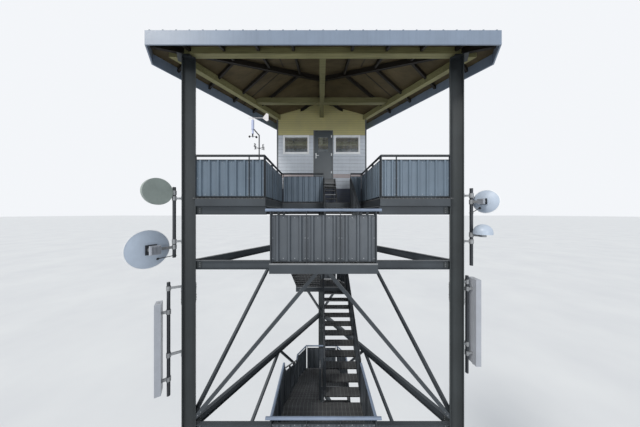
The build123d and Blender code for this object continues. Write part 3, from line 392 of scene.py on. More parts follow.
def grating(name, colour, pitch=0.034):
    """Open bar grating: bearing bars along X with gaps of painted shade between, cross rods at
    wider steps.
    """
    material, coords = nodes_of(name)
    parts = split(coords)
    across = maths("PINGPONG", parts["Y"], pitch / 2)
    along = maths("PINGPONG", parts["X"], pitch * 1.5)
    bars = spread(across, pitch * 0.12, pitch * 0.18, 1.0, 0.0)
    rods = spread(along, pitch * 0.1, pitch * 0.16, 1.0, 0.0)
    solid = maths("MAXIMUM", bars, rods)
    mottle = spread(noise(coords, 3.0), 0.3, 0.7)
    metal = blend(mottle, scaled(colour, 0.75), scaled(colour, 1.2))
    # Painted shade: the gaps between bars are 0.22 of the colour, the shade seen through the open
    # grating
    tone = blend(solid, scaled(colour, 0.22), metal)
    return finished(material, tone, 0.55, 0.35, (solid, 0.6, 0.01))


def timber(name, colour, dark, turn=0.0, rough=0.62):
    """Stained wood: grain drawn out along one way in plan, darker fine lines, weather patches."""
    material, coords = nodes_of(name)
    grain = noise(mapped(coords, (0.6, 16.0, 16.0), turn), 2.4, 7.0, 0.62)
    lines = noise(mapped(coords, (1.2, 70.0, 70.0), turn), 1.6, 3.0)
    tone = blend(spread(grain, 0.32, 0.68), dark, colour)
    tone = blend(spread(lines, 0.5, 0.75, 0.0, 0.45), tone, scaled(dark, 0.75))
    patches = spread(noise(coords, 0.9, 4.0), 0.45, 0.75, 0.0, 0.35)
    tone = blend(patches, tone, scaled(colour, 1.25))
    worn = spread(grain, 0.3, 0.7, rough - 0.1, rough + 0.12)
    return finished(material, tone, worn, bump=(lines, 0.3, 0.004))


def board(name, colour, dark):
    """Stained sheet board: cloudy figure and small speckles."""
    material, coords = nodes_of(name)
    cloud = noise(mapped(coords, (0.8, 2.2, 1.0)), 1.5, 6.0, 0.65)
    tone = blend(spread(cloud, 0.3, 0.7), dark, colour)
    speck = noise(coords, 24.0, 2.0)
    tone = blend(spread(speck, 0.55, 0.8, 0.0, 0.4), tone, scaled(dark, 0.7))
    return finished(material, tone, 0.72, bump=(speck, 0.15, 0.003))


def cast(name, colour, rough=0.4, mottle=0.06):
    """Moulded plastic: nearly even, with faint chalking and streaks of dust that run down."""
    material, coords = nodes_of(name)
    cloud = spread(noise(coords, 3.5, 4.0), 0.3, 0.7)
    tone = blend(cloud, scaled(colour, 1 - mottle), scaled(colour, 1 + mottle))
    dust = noise(mapped(coords, (12.0, 12.0, 1.2)), 2.0, 3.0)
    tone = blend(spread(dust, 0.5, 0.8, 0.0, 0.15), tone, scaled(colour, 0.7))
    chalk = spread(cloud, 0.0, 1.0, rough, rough + 0.12)
    return finished(material, tone, chalk, bump=(noise(coords, 90.0, 2.0), 0.06, 0.001))


def glazing(name, colour):
    """Half-mirrored glass, pale where it gives back the sky, with faint smears."""
    material, coords = nodes_of(name)
    smear = noise(mapped(coords, (2.0, 2.0, 0.6)), 2.0, 4.0)
    tone = blend(spread(smear, 0.35, 0.7), scaled(colour, 0.75), scaled(colour, 1.25))
    return finished(material, tone, spread(smear, 0.3, 0.8, 0.03, 0.12), 0.85,
                    Specular_IOR_Level=0.9, Coat_Weight=0.5)


def walling(name, cream, siding, lower):
    """Cabin wall by height: dark foot of painted shade, the siding's tone, cream over the windows;
    board joints.
    """
    material, coords = nodes_of(name)
    high = split(coords)["Z"]
    # Painted shade: below the siding's foot the wall takes the dark lower colour
    tone = blend(spread(high, SIDING_FOOT - 0.01, SIDING_FOOT), lower, siding)
    above = spread(high, WINDOW_TOP - 0.001, WINDOW_TOP + 0.001)
    tone = blend(above, tone, cream)
    mottle = spread(noise(coords, 1.8, 5.0), 0.3, 0.7, 0.0, 0.25)
    tone = blend(mottle, tone, (0.32, 0.30, 0.24))
    lines = maths("PINGPONG", high, 0.0475)
    groove = spread(lines, 0.002, 0.006, 1.0, 0.0)
    tone = blend(maths("MULTIPLY", groove, 0.5), tone, (0.16, 0.15, 0.12))
    return finished(material, tone, 0.6, bump=(groove, -0.4, 0.006))


# Sizes and colours that a user would change

def length(name, text, value):
    """Property in metres."""
    return FloatProperty(name=name, description=text, default=value, min=0.0, unit="LENGTH")


def paint(name, text, value):
    """Colour property."""
    return FloatVectorProperty(name=name, description=text, default=value, size=3,
                               subtype="COLOR", min=0.0, max=1.0)


def power(name, text, value):
    """Strength of a light."""
    return FloatProperty(name=name, description=text, default=value, min=0.0)


class SheetSettings(PropertyGroup):
    """Ribbed parapet sheets."""
    pitch: length("Rib pitch", "From one rib to the next", 0.212)
    crest: length("Rib top", "Flat width on top of a rib", 0.038)
    slope: length("Slope", "Width of a rib's sloped side", 0.022)
    metal: length("Sheet", "Thickness of the sheet", 0.0015)
    reach: length("Edge reach", "How far a sheet runs on at each end", 0.0044)
    screw: length("Screw head", "Radius of a screw head", 0.0075)
    colour: paint("Sheet colour", "Coat of the ribbed sheets", (0.078, 0.090, 0.104))
    gallery: paint("Gallery sheet colour", "Coat of the gallery sheets", (0.122, 0.163, 0.208))
    screws: paint("Screw colour", "Heads of the screws", (0.62, 0.64, 0.66))


class CladdingSettings(PropertyGroup):
    """Cabin."""
    rise: length("Board height", "Visible height of one board", 0.152)
    proud: length("Stand-off", "Boards stand out from the wall", 0.016)
    siding: paint("Siding", "Boards round door and windows", (0.66, 0.70, 0.76))
    cream: paint("Upper wall", "Wall above the window heads", (0.60, 0.55, 0.25))
    # The dark blue of the wall below the siding is painted shade
    lower: paint("Lower wall", "Wall below the siding", (0.045, 0.065, 0.120))
    band: paint("Base band", "Band over the threshold", (0.50, 0.43, 0.43))
    trim: paint("Trims", "Corner trims and door frame", (0.12, 0.13, 0.14))
    frames: paint("Window frames", "Frames and door furniture", (0.90, 0.91, 0.92))
    glass: paint("Glass", "What the panes give back", (0.80, 0.86, 0.82))
    door: paint("Door", "Door leaf", (0.070, 0.085, 0.095))
    floor: paint("Floor", "Floor boards", (0.24, 0.16, 0.09))
    floor_dark: paint("Floor grain", "Dark grain of the boards", (0.13, 0.08, 0.04))


class SteelSettings(PropertyGroup):
    """Steelwork."""
    leg: paint("Legs", "Paint of the legs", (0.038, 0.045, 0.048))
    beam: paint("Beams", "Paint of beams, braces and frames", (0.046, 0.055, 0.064))
    flat: paint("Flat bars", "Paint of parapet frames", (0.030, 0.036, 0.043))
    light_rail: paint("Landing rail", "Paint of the landing rails", (0.20, 0.25, 0.34))
    dark_rail: paint("Gallery rail", "Paint of gallery and stair rails", (0.020, 0.024, 0.030))
    zinc: paint("Zinc", "Galvanised clamps and treads", (0.34, 0.35, 0.36))
    bolt: length("Bolt head", "Radius of a bolt head", 0.018)


class RoofSettings(PropertyGroup):
    """Roof and timber."""
    rib_pitch: length("Rib pitch", "Between the roof ribs", 0.30)
    rib_height: length("Rib height", "Height of a rib", 0.030)
    batten_pitch: length("Batten pitch", "Between the soffit battens", 1.22)
    fascia: paint("Fascia", "Coat of the fascia", (0.205, 0.255, 0.335))
    sheet: paint("Roof sheet", "Coat of the roof", (0.12, 0.145, 0.18))
    beam: paint("Beams", "Lit stain of the beams", (0.30, 0.285, 0.135))
    beam_dark: paint("Beam grain", "Dark grain of the beams", (0.150, 0.138, 0.058))
    soffit: paint("Soffit", "Lit stain of the boards", (0.115, 0.086, 0.038))
    soffit_dark: paint("Soffit figure", "Dark figure of the boards", (0.055, 0.040, 0.016))
    rafter: paint("Rafters", "Stain of the rafters", (0.014, 0.010, 0.006))


class FittingSettings(PropertyGroup):
    """Antennas and wind sensor."""
    shell: paint("White shells", "Dishes and radome", (0.47, 0.54, 0.64))
    cover: paint("Drum cover", "Cover of the drum antenna", (0.30, 0.345, 0.32))
    panel: paint("Panel shells", "Panel antennas", (0.38, 0.40, 0.44))
    sensor: paint("Sensor", "Body of the wind sensor", (0.50, 0.55, 0.74))
    vane: paint("Vane", "Wind vane", (0.74, 0.70, 0.70))
    cups: paint("Cups", "Cup wheel", (0.012, 0.012, 0.013))
    clamp: length("Stay clamp", "Radius of the band round a pole", 0.045)
    letters: length("Letter height", "Height of the compass letters", 0.075)


class StageSettings(PropertyGroup):
    """Floor, lamps and camera."""
    sky: power("Sky light", "Strength of light from all round", 0.62)
    fill: power("Fill", "Strength of light from the front", 0.7)
    sun: power("Sun", "Strength of the soft sun", 1.7)
    view: FloatProperty(name="View", description="Width of the camera's view",
                        default=math.radians(115.6), subtype="ANGLE")
    back: length("Camera distance", "In front of the front legs", 5.2)
    eye: length("Camera height", "Over the ground", 30.4)
    floor: length("Floor", "Half width of the floor", 3000.0)


GROUPS = dict(sheets=SheetSettings, cladding=CladdingSettings, steel=SteelSettings,
              roof=RoofSettings, fittings=FittingSettings, stage=StageSettings)


def settings(name):
    """One of the property groups of the scene."""
    return getattr(bpy.context.scene, "lookout_" + name)


def give(material, names):
    """Puts a material on CAD nodes, named in one string, and hands it on."""
    for name in names.split():
        mesh = NODES[name].data
        mesh.materials.clear()
        mesh.materials.append(material)
    return material


# Operators

class LOOKOUT_OT_finishes(Operator):
    """Gives every CAD node its finish"""
    bl_idname = "lookout.finishes"
    bl_label = "Finish steel, timber and cabin"

    def execute(self, context):
        steel, roof, cabin = settings("steel"), settings("roof"), settings("cladding")
        sheets, fittings = settings("sheets"), settings("fittings")
        give(painted("beam_paint", steel.beam, 0.5, 0.2),
             "ring_beams braces stair_stringers landing_frames gallery_frame")
        give(painted("flat_bar_paint", steel.flat, 0.5, 0.2),
             "landing_parapet_frames stair_parapet_frames gallery_parapet_frames")
        give(grating("grating", scaled(steel.zinc, 0.7)),
             "landing_decks gallery_deck stair_treads cabin_steps")
        give(painted("landing_rail_paint", steel.light_rail, 0.4), "landing_rails")
        give(timber("beam_timber", roof.beam, roof.beam_dark), "roof_front_beam roof_side_beams")
        # Tie beams: the beam stain and grain at 0.72 are painted shade, a shaded copy of the beam
        # timber
        give(timber("tie_timber_painted_shade", scaled(roof.beam, 0.72), scaled(roof.beam_dark, 0.72)),
             "roof_tie_beams")
        give(board("soffit_board", roof.soffit, roof.soffit_dark), "roof_soffit")
        give(painted("fascia_coat", roof.fascia, 0.4, 0.0, 0.08, 0.2), "roof_fascia")
        # Painted shade: the wall behind the boards takes the siding tone at 0.25, so the gaps
        # between boards read dark
        give(walling("cabin_wall_paint", cabin.cream, scaled(cabin.siding, 0.25), cabin.lower),
             "cabin_front_wall cabin_rear_wall cabin_right_wall cabin_left_wall")
        give(timber("floor_boards", cabin.floor, cabin.floor_dark), "cabin_floor")
        give(painted("trim_paint", cabin.trim, 0.5), "cabin_corner_trims cabin_door_frame")
        give(glazing("glass", cabin.glass), "glass_panes")
        give(painted("door_paint", cabin.door, 0.35, 0.0, 0.1, 0.1), "cabin_door")
        give(cast("shell_white", fittings.shell, 0.35), "antenna_dishes antenna_radome")
        give(cast("drum_cover", fittings.cover, 0.6, 0.1), "antenna_drum")
        give(cast("sensor_body", fittings.sensor, 0.35), "weather_sensor")
        give(cast("vane_white", fittings.vane, 0.4), "wind_vane")
        give(cast("cup_black", fittings.cups, 0.35), "wind_cups")
        FINISHES.update(
            leg=give(painted("leg_paint", steel.leg, 0.45, 0.2, 0.16, 0.25),
                     "leg_rear leg_left leg_right"),
            zinc=give(galvanised("zinc", steel.zinc), "antenna_mounts"),
            dark=give(painted("dark_rail_paint", steel.dark_rail, 0.4),
                      "gallery_rails stair_rails antenna_poles weather_mast"),
            roof=give(painted("roof_coat", roof.sheet, 0.45, 0.1), "roof_skin"),
            rafters=give(timber("rafter_timber", roof.rafter, scaled(roof.rafter, 0.5),
                                math.pi / 2), "roof_hip_rafters roof_jack_rafters"),
            white=give(cast("white_frame", cabin.frames, 0.35),
                       "window_frames cabin_door_furniture"),
            panel=give(cast("panel_shell", fittings.panel, 0.35), "antenna_panels"),
            siding=painted("siding_paint", cabin.siding, 0.5, 0.0, 0.07, 0.2),
            band=painted("band_paint", cabin.band, 0.5, 0.0, 0.07, 0.2),
            ribbed_sheet=painted("sheet_coat", sheets.colour, 0.42, 0.15, 0.12, 0.3),
            gallery_sheet=painted("gallery_sheet_coat", sheets.gallery, 0.42, 0.15, 0.1, 0.3),
            screw=cast("screw_head", sheets.screws, 0.3),
        )
        return {"FINISHED"}


def rib_profile(run, thick, s):
    """Places along a panel and depths there, with ribs at the even step nearest to the pitch.

    Wide flats lie on the inner face, narrow ribs are raised outwards and slopes join the two.
    The third array has the places of the screws: on the flats between ribs and near both ends.
    """
    count = max(1, round(run / s.pitch))
    step = run / count
    start = np.arange(count) * step
    turns = np.cumsum([(step - s.crest - 2 * s.slope) / 2, s.slope, s.crest, s.slope])
    along = np.concatenate([[0.0], (start[:, None] + turns).ravel(), [run]])
    depth = np.concatenate([[-1.0], np.tile([-1.0, 1.0, 1.0, -1.0], count), [-1.0]]) * thick / 2
    end = 0.022
    return along, depth, np.concatenate([start[1:], [end, run - end]])


class LOOKOUT_OT_sheets(Operator):
    """Rib the parapet sheets and set their screws"""
    bl_idname = "lookout.sheets"
    bl_label = "Ribbed parapet sheets"

    def execute(self, context):
        s = settings("sheets")
        for group, slot in (("landing", "ribbed_sheet"), ("stair", "ribbed_sheet"),
                            ("gallery", "gallery_sheet")):
            sheet, screws = Shape(), Shape()
            for corners in solids_of(f"{group}_parapet_sheets"):
                (a, *edges_a), (b, *edges_b), thick = panel_line(corners)
                run, way, out = plan_run(a, b)
                if group == "stair":
                    out = beside(way)
                steep = (edges_b[0] - edges_a[0]) / run * s.reach
                edges_a, edges_b = np.array(edges_a) - steep, np.array(edges_b) + steep
                a, b = a - way * s.reach, b + way * s.reach
                run = np.linalg.norm(b - a)
                along, depth, spots = rib_profile(run, thick - s.metal, s)
                low, high = (edges_a + (edges_b - edges_a) * along[:, None] / run).T

                def line(z, shift):
                    """Line of the rib profile at heights z, moved outwards by a shift."""
                    plan = a + way * along[:, None] + out * (depth + shift)[:, None]
                    return np.column_stack([plan, z])

                half = s.metal / 2
                sheet.band(line(low, half), line(high, half), line(low, -half), line(high, -half))
                if group == "stair":
                    continue
                foot, head = edges_a[0] + 0.05, edges_a[1] - 0.045
                levels = (foot, (foot + head) / 2, head)
                for spot in spots:
                    place = a + way * spot + out * (s.metal - thick / 2)
                    between_ribs = 0.03 < spot < run - 0.03
                    for z in levels[::2] if between_ribs else levels:
                        screws.dome((*place, z), (*out, 0), s.screw, s.screw * 0.8, 6)
            piece(f"{group}_ribbed_sheets", sheet, slot, [f"{group}_parapet_sheets"])
            if screws.count:
                piece(f"{group}_sheet_screws", screws, "screw")
        return {"FINISHED"}


def clad(shape, wall, low, high, rise, proud):
    """Weatherboards on a wall, in even rows, each cut round the openings it meets.

    A board stands proud at its foot and falls evenly to three tenths of that at its head. A wall
    is its start and end in plan, with the outside on the right, and its holes, each with its
    first and last place along the wall, its foot and its head.
    """
    *ends, holes = wall
    start, end = map(np.asarray, ends)
    run = np.linalg.norm(end - start)
    way = (end - start) / run
    rows = max(1, round((high - low) / rise))
    step = (high - low) / rows
    gap, edge, least, taper = 0.006, 0.012, 0.02, 0.7
    for row in range(rows):
        foot, head = low + row * step, low + (row + 1) * step - gap
        levels = [z for hole in holes for z in hole[2:] if foot + 0.01 < z < head - 0.01]
        levels = sorted({foot, *levels, head})
        for z0, z1 in zip(levels, levels[1:]):
            spans = [(0.0, run)]
            for h0, h1, hz0, hz1 in holes:
                if z1 > hz0 + edge and z0 < hz1 - edge:
                    spans = [cut for a, b in spans for cut in ((a, min(b, h0)), (max(a, h1), b))
                             if cut[1] - cut[0] > least]
            d0, d1 = (proud * (1 - taper * (z - foot) / step) for z in (z0, z1))
            profile = [(0.0, z0), (d0, z0), (d1, z1), (0.0, z1)]
            for ends in spans:
                shape.prism(*([(*(start + way * t + beside(way) * d), z) for d, z in profile]
                              for t in ends))


class LOOKOUT_OT_cladding(Operator):
    """Set siding boards, base band and sills on the cabin"""
    bl_idname = "lookout.cladding"
    bl_label = "Cabin siding"

    def execute(self, context):
        s = settings("cladding")
        boards, band = Shape(), Shape()
        face = node_box("cabin_front_wall")[0][1]
        corner = np.array([node_box("cabin_corner_trims")[1][0], face])
        trim, side_gap, rear_gap, play = 0.062, 0.02, 0.13, 0.003
        inner = corner[0] - trim
        frames = sorted(solids_of("window_frames"), key=lambda c: c[:, 0].mean())
        windows = [(c.min(0), c.max(0)) for c in frames[1:3]]
        top = windows[0][1][2]
        holes = [(low[0] + inner, high[0] + inner, low[2], high[2])
                 for low, high in (*windows, node_box("cabin_door_frame"))]
        low, high = node_box("cabin_steps")
        holes.append((low[0] + inner - play, high[0] + inner + play, 0.0, high[2]))
        walls = [((-inner, face), (inner, face), holes)]
        for side, name, window in ((-1, "cabin_left_wall", frames[0]),
                                   (1, "cabin_right_wall", frames[3])):
            along = np.array([-side * 0.5, COS_30])
            run = (node_box(name)[1][1] - face) / along[1] - rear_gap
            start, end = (corner * (side, 1) + along * t for t in (side_gap, run)[::side])
            t = (window[:, :2] - start) @ (end - start) / np.linalg.norm(end - start)
            hole = (t.min(), t.max(), window[:, 2].min(), window[:, 2].max())
            walls.append((start, end, [hole]))
        for wall in walls:
            clad(boards, wall, SIDING_FOOT, BAND_LOW, s.rise, s.proud)
            clad(boards, wall, BAND_HIGH, top, s.rise, s.proud)
            clad(band, wall, BAND_LOW, BAND_HIGH, BAND_HIGH - BAND_LOW, s.proud)
        piece("cabin_siding", boards, "siding")
        piece("cabin_base_band", band, "band")
        piece("window_sills", self.sills(windows), "white")
        return {"FINISHED"}

    def sills(self, windows):
        """Bars on each front window: sill, a bead along the lower and upper rail, a short lug."""
        sills = Shape()
        for low, high in windows:
            middle = (low[0] + high[0]) / 2
            for x0, x1, y, z, wide, tall in (
                    (low[0] - 0.02, high[0] + 0.02, 0.0, low[2] - 0.012, 0.03, 0.02),
                    (low[0] + 0.08, high[0] - 0.08, 0.02, low[2] + 0.072, 0.02, 0.012),
                    (low[0] + 0.08, high[0] - 0.08, 0.02, high[2] - 0.072, 0.02, 0.012),
                    (middle - 0.12, middle + 0.12, 0.03, low[2] + 0.035, 0.012, 0.02)):
                y += low[1] - 0.012
                sills.bar((x0, y, z), (x1, y, z), wide, tall)
        return sills


class LOOKOUT_OT_roof(Operator):
    """Raise the roof sheet's ribs, its hip caps and the soffit battens"""
    bl_idname = "lookout.roof"
    bl_label = "Roof ribs and soffit battens"

    def execute(self, context):
        s = settings("roof")
        low, high = node_box("roof_skin")
        apex = high[2]
        inradius = HUB[1] - low[1]
        rib_gap, rib_least, rib_wide, rib_rise = 0.13, 0.1, 0.034, s.rib_height / 2 - 0.002
        batten_gap, batten_least, batten_wide, batten_high = 0.15, 0.3, 0.022, 0.008
        under = node_box("roof_soffit")[1][2] - SOFFIT_THICK / math.cos(ROOF_PITCH)
        under -= batten_high / 2
        ribs, caps, battens = Shape(), Shape(), Shape()
        for turn in (0, 120, 240):
            spin = np.column_stack([heading(turn), -beside(heading(turn))])

            def slope_bar(shape, x, gap, least, far, z, wide, tall):
                """Bar down the slope at x, from a gap off the hips, unless it comes out short."""
                near = abs(x) / math.sqrt(3) + gap
                if inradius - near > least:
                    shape.bar(*((*(spin @ (x, -out) + HUB), z - out * ROOF_SLOPE)
                                for out in (near, far)), wide, tall)

            count = int((inradius * math.sqrt(3) - CORNER_CUT) / s.rib_pitch)
            for x in np.arange(-count, count + 1) * s.rib_pitch:
                slope_bar(ribs, x, rib_gap, rib_least, inradius, apex + rib_rise, rib_wide,
                          s.rib_height)
            for x in np.array([-2, -1, 1, 2]) * s.batten_pitch:
                slope_bar(battens, x, batten_gap, batten_least, inradius - 0.01, under,
                          batten_wide, batten_high)
            self.hip_caps(caps, heading(turn + 90), apex,
                          2 * inradius - CORNER_CUT * math.sqrt(3) / 2)
        peak = 0.34
        corners = [HUB + peak * heading(turn) for turn in (90, 210, 330)]
        caps.prism(*([(*c, z) for c in corners] for z in (apex - peak / 2 * ROOF_SLOPE, apex)))
        piece("roof_ribs", ribs, "roof")
        piece("roof_hip_caps", caps, "roof")
        piece("soffit_battens", battens, "rafters")
        return {"FINISHED"}

    def hip_caps(self, caps, way, apex, far):
        """Two wings along a hip: each a thin sheet that falls with its roof face from the hip."""
        wing, thick, lift, near = 0.11, 0.006, 0.034, 0.28
        drop = wing * ROOF_SLOPE * COS_30
        for cross in (beside(way) * wing, -beside(way) * wing):
            rings = []
            for reach in (near, far):
                spot = HUB + way * reach
                z = apex - reach / 2 * ROOF_SLOPE + lift
                rings.append([(*spot, z + thick), (*(spot + cross), z - drop + thick),
                              (*(spot + cross), z - drop), (*spot, z)])
            caps.prism(*rings)


class LOOKOUT_OT_steel(Operator):
    """Bolt the steelwork: beam gussets, brace bolts, anchor nuts and leg splices"""
    bl_idname = "lookout.steel"
    bl_label = "Gussets, splices and bolts"

    def execute(self, context):
        size = settings("steel").bolt
        plates, bolts = Shape(), Shape()
        self.gussets(plates, bolts, size * 0.6)
        self.brace_bolts(bolts, size * 0.7)
        for leg in LEGS:
            radial = (leg - HUB) / np.linalg.norm(leg - HUB)
            self.anchors(bolts, leg, radial)
            self.splices(plates, bolts, leg, radial, size * 0.8)
        piece("splice_plates", plates, "leg")
        piece("frame_bolts", bolts, "zinc")
        return {"FINISHED"}

    def gussets(self, plates, bolts, size):
        """A plate with three bolts on both faces of each ring beam's end, where a leg is near."""
        thick, tall, inset, over_foot, reach = 0.008, 0.15, 0.075, 0.11, 0.25
        for corners in solids_of("ring_beams"):
            (a, low, _), (b, _, _), _ = panel_line(corners)
            _, way, out = plan_run(a, b)
            z = low + over_foot
            for spot, inwards in ((a, way), (b, -way)):
                if min(np.linalg.norm(spot - leg) for leg in LEGS) > LEG_HALF / COS_30 + reach:
                    continue
                for side in (-out, out):
                    face = spot + inwards * inset + side * thick
                    plates.bar((*(face - inwards * 0.06), z), (*(face + inwards * 0.085), z),
                               thick, tall)
                    place = face + inwards * 0.04 + side * thick / 2
                    for dz in (-0.05, 0.0, 0.05):
                        bolts.dome((*place, z + dz), (*side, 0), size, 0.009, 6)

    def brace_bolts(self, bolts, size):
        """Two bolts on both faces of each brace, going up with it from its lower end."""
        for corners in solids_of("braces"):
            (a, _, _), (b, _, _), _ = panel_line(corners)
            run, way, out = plan_run(a, b)
            lowest = corners[corners[:, 2].argmin()]
            foot, climb = (a, way) if lowest[:2] @ way < (a + b) / 2 @ way else (b, -way)
            slant = np.ptp(corners[:, 2]) / run
            for side in (-out, out):
                for t in (0.08, 0.15):
                    place = foot + climb * t + side * 0.045
                    bolts.dome((*place, lowest[2] + 0.07 + t * slant), (*side, 0), size, 0.011, 6)

    def anchors(self, bolts, leg, radial):
        """Washer, nut and stud at each of the four holes of a base plate."""
        nut = PLATE_TOP + 0.004
        parts = ((PLATE_TOP, nut, 0.034, 16), (nut, nut + 0.028, 0.026, 6),
                 (0.002, PLATE_TOP + 0.070, 0.0155, 12))
        for degrees in (45, 135, 225, 315):
            cos, sin = heading(degrees)
            place = leg + ANCHOR_RADIUS * (cos * radial - sin * beside(radial))
            for low, high, radius, sides in parts:
                bolts.tube([(*place, low), (*place, high)], radius, sides)

    def splices(self, plates, bolts, leg, radial, size):
        """A plate with eight bolts on both flanges of a leg under each landing's level."""
        cross = -beside(radial)
        wide, tall, thick = 0.13, 0.22, 0.008
        for level in range(1, STOREYS + 1):
            z = level * STOREY - SPLICE_DROP
            for side in (-radial, radial):
                face = leg + side * LEG_HALF
                ring = [face + cross * a * wide + side * b * thick
                        for a, b in ((1, 0), (-1, 0), (-1, 1), (1, 1))]
                plates.prism(*([(*p, z + dz) for p in ring] for dz in (-tall, tall)))
                for dz in (-0.17, -0.10, 0.10, 0.17):
                    for dx in (-0.08, 0.08):
                        place = face + side * thick + cross * dx
                        bolts.dome((*place, z + dz), (*side, 0), size, 0.012, 6)


LETTERS = {
    "N": [(0, 0), (0, 1), (0.22, 1), (0.78, 0.35), (0.78, 1), (1, 1), (1, 0), (0.78, 0),
          (0.22, 0.65), (0.22, 0)],
    "E": [(0, 0), (0, 1), (0.9, 1), (0.9, 0.82), (0.24, 0.82), (0.24, 0.59), (0.75, 0.59),
          (0.75, 0.41), (0.24, 0.41), (0.24, 0.18), (0.9, 0.18), (0.9, 0)],
    "S": [(0.05, 0), (0.05, 0.2), (0.7, 0.2), (0.7, 0.4), (0.05, 0.4), (0.05, 1), (0.95, 1),
          (0.95, 0.8), (0.3, 0.8), (0.3, 0.6), (0.95, 0.6), (0.95, 0)],
    "W": [(0, 1), (0.2, 1), (0.32, 0.35), (0.5, 0.8), (0.68, 0.35), (0.8, 1), (1, 1), (0.8, 0),
          (0.62, 0), (0.5, 0.4), (0.38, 0), (0.2, 0)],
}


class LOOKOUT_OT_fittings(Operator):
    """Add the compass letters, the antenna sockets, the dishes' rims, radios and stays"""
    bl_idname = "lookout.fittings"
    bl_label = "Wind sensor and antenna fittings"

    def execute(self, context):
        s = settings("fittings")
        self.letters(s.letters)
        self.sockets()
        self.dishes(s.clamp)
        bands = Shape()
        for points in solids_of("antenna_drum"):
            axis, radius, front = self.mouth(points)
            bands.ring(front - axis * 0.012, axis, radius, 0.005)
        piece("drum_band", bands, "zinc", smooth=True)
        return {"FINISHED"}

    def letters(self, tall):
        """Upright letters, 4 mm thick, that stand on the arms of the compass cross."""
        low, high = node_box("weather_mast")
        arm, half_thick, wide, foot = 0.18, 0.002, 0.062, 0.112
        mast = np.array([high[0] - arm * COS_30, (low[1] + high[1]) / 2])
        cross_top = GALLERY_Z + 1.284
        letters = Shape()
        for letter, turn in zip("NWSE", (60, 150, 240, 330)):
            way = heading(turn)
            outline = np.array(LETTERS[letter]) * (wide, tall) + (foot, cross_top)
            letters.prism(*([(*(mast + way * x + beside(way) * side), z) for x, z in outline]
                            for side in (half_thick, -half_thick)))
        piece("compass_letters", letters, "dark")

    def sockets(self):
        """Three cable sockets under each panel antenna and a lug on its top."""
        details = Shape()
        for corners in solids_of("antenna_panels"):
            bottom, top = corners[:, 2].min(), corners[:, 2].max() - 0.002
            x, y, _ = corners.mean(0)
            for dx, dy in ((-0.04, 0.0), (0.04, 0.0), (0.0, 0.03)):
                details.tube([(x + dx, y + dy, bottom + dz) for dz in (-0.035, 0.01)], 0.012, 8)
            details.bar((x - 0.03, y, top), (x + 0.03, y, top), 0.05, 0.012)
        piece("antenna_sockets", details, "zinc")

    def dishes(self, clamp):
        """A bead on each dish's rim, a finned radio behind it and a stay to the nearest pole.

        The stay's foot lies on the dish's back, which is a bowl: its depth at a distance from
        the middle is the dish's depth times the square of that distance over the radius.
        """
        rims, radios, stays = Shape(), Shape(), Shape()
        poles = [(*points[:, :2].mean(0), points[:, 2].min())
                 for points in solids_of("antenna_poles")]
        for points in solids_of("antenna_dishes"):
            axis, radius, front = self.mouth(points)
            rims.ring(front, axis, radius - 0.004, 0.007)
            depth = np.ptp((points - front) @ axis)
            back = front - axis * depth
            side = np.cross(axis, (0, 0, 1))
            end = back - axis * radius * 0.33
            wide = radius * 0.46
            radios.bar(end, end - axis * 0.06, wide, wide)
            for place in np.linspace(-0.45, 0.45, 8) * wide:
                fin = end + side * place
                radios.bar(fin - axis * 0.059, fin - axis * 0.09, 0.005, wide * 0.9)
            stays.bar(back - axis * 0.010, back - axis * 0.022, wide * 1.1, wide * 1.1)
            near = [pole for pole in poles if pole[2] < front[2]]
            pole = np.array(min(near, key=lambda p: np.linalg.norm(p - front)))
            towards = side * np.sign((pole - front) @ side)
            reach = np.array([0, 0, -0.55]) * radius + towards * 0.35 * radius
            sunk = depth * (np.linalg.norm(reach) / radius) ** 2 - 0.004
            foot = back + reach + axis * sunk
            seat = np.array([pole[0], pole[1], max(foot[2] - 0.12, pole[2] + 0.05)])
            way = (foot - seat) / np.linalg.norm(foot - seat)
            stays.tube([foot, seat + way * clamp], 0.010, 10)
            stays.dome(foot + axis * 0.002, -axis, 0.032, 0.016, 12)
            stays.ring(seat, (0, 0.001, 1), clamp, 0.008, 20)
        piece("dish_rims", rims, "white", smooth=True)
        piece("dish_radios", radios, "panel")
        piece("dish_stays", stays, "dark")

    def mouth(self, points):
        """Axis, radius and middle of the front rim of a round antenna, from its points.

        The axis is the way in which the points spread least. It looks to the side on which the
        widest points lie, and of a drum, which is as wide at both ends, to the front.
        """
        middle = points.mean(0)
        axis = np.linalg.svd(points - middle)[2][2]
        deep = (points - middle) @ axis
        far = np.linalg.norm(points - middle - deep[:, None] * axis, axis=1)
        lean = deep[far > far.max() * 0.98].mean() - (deep.max() + deep.min()) / 2
        if abs(lean) < 0.01:
            lean = -axis[1]
        if lean < 0:
            axis, deep = -axis, -deep
        return axis, far.max(), points[deep > deep.max() - 0.004].mean(0)


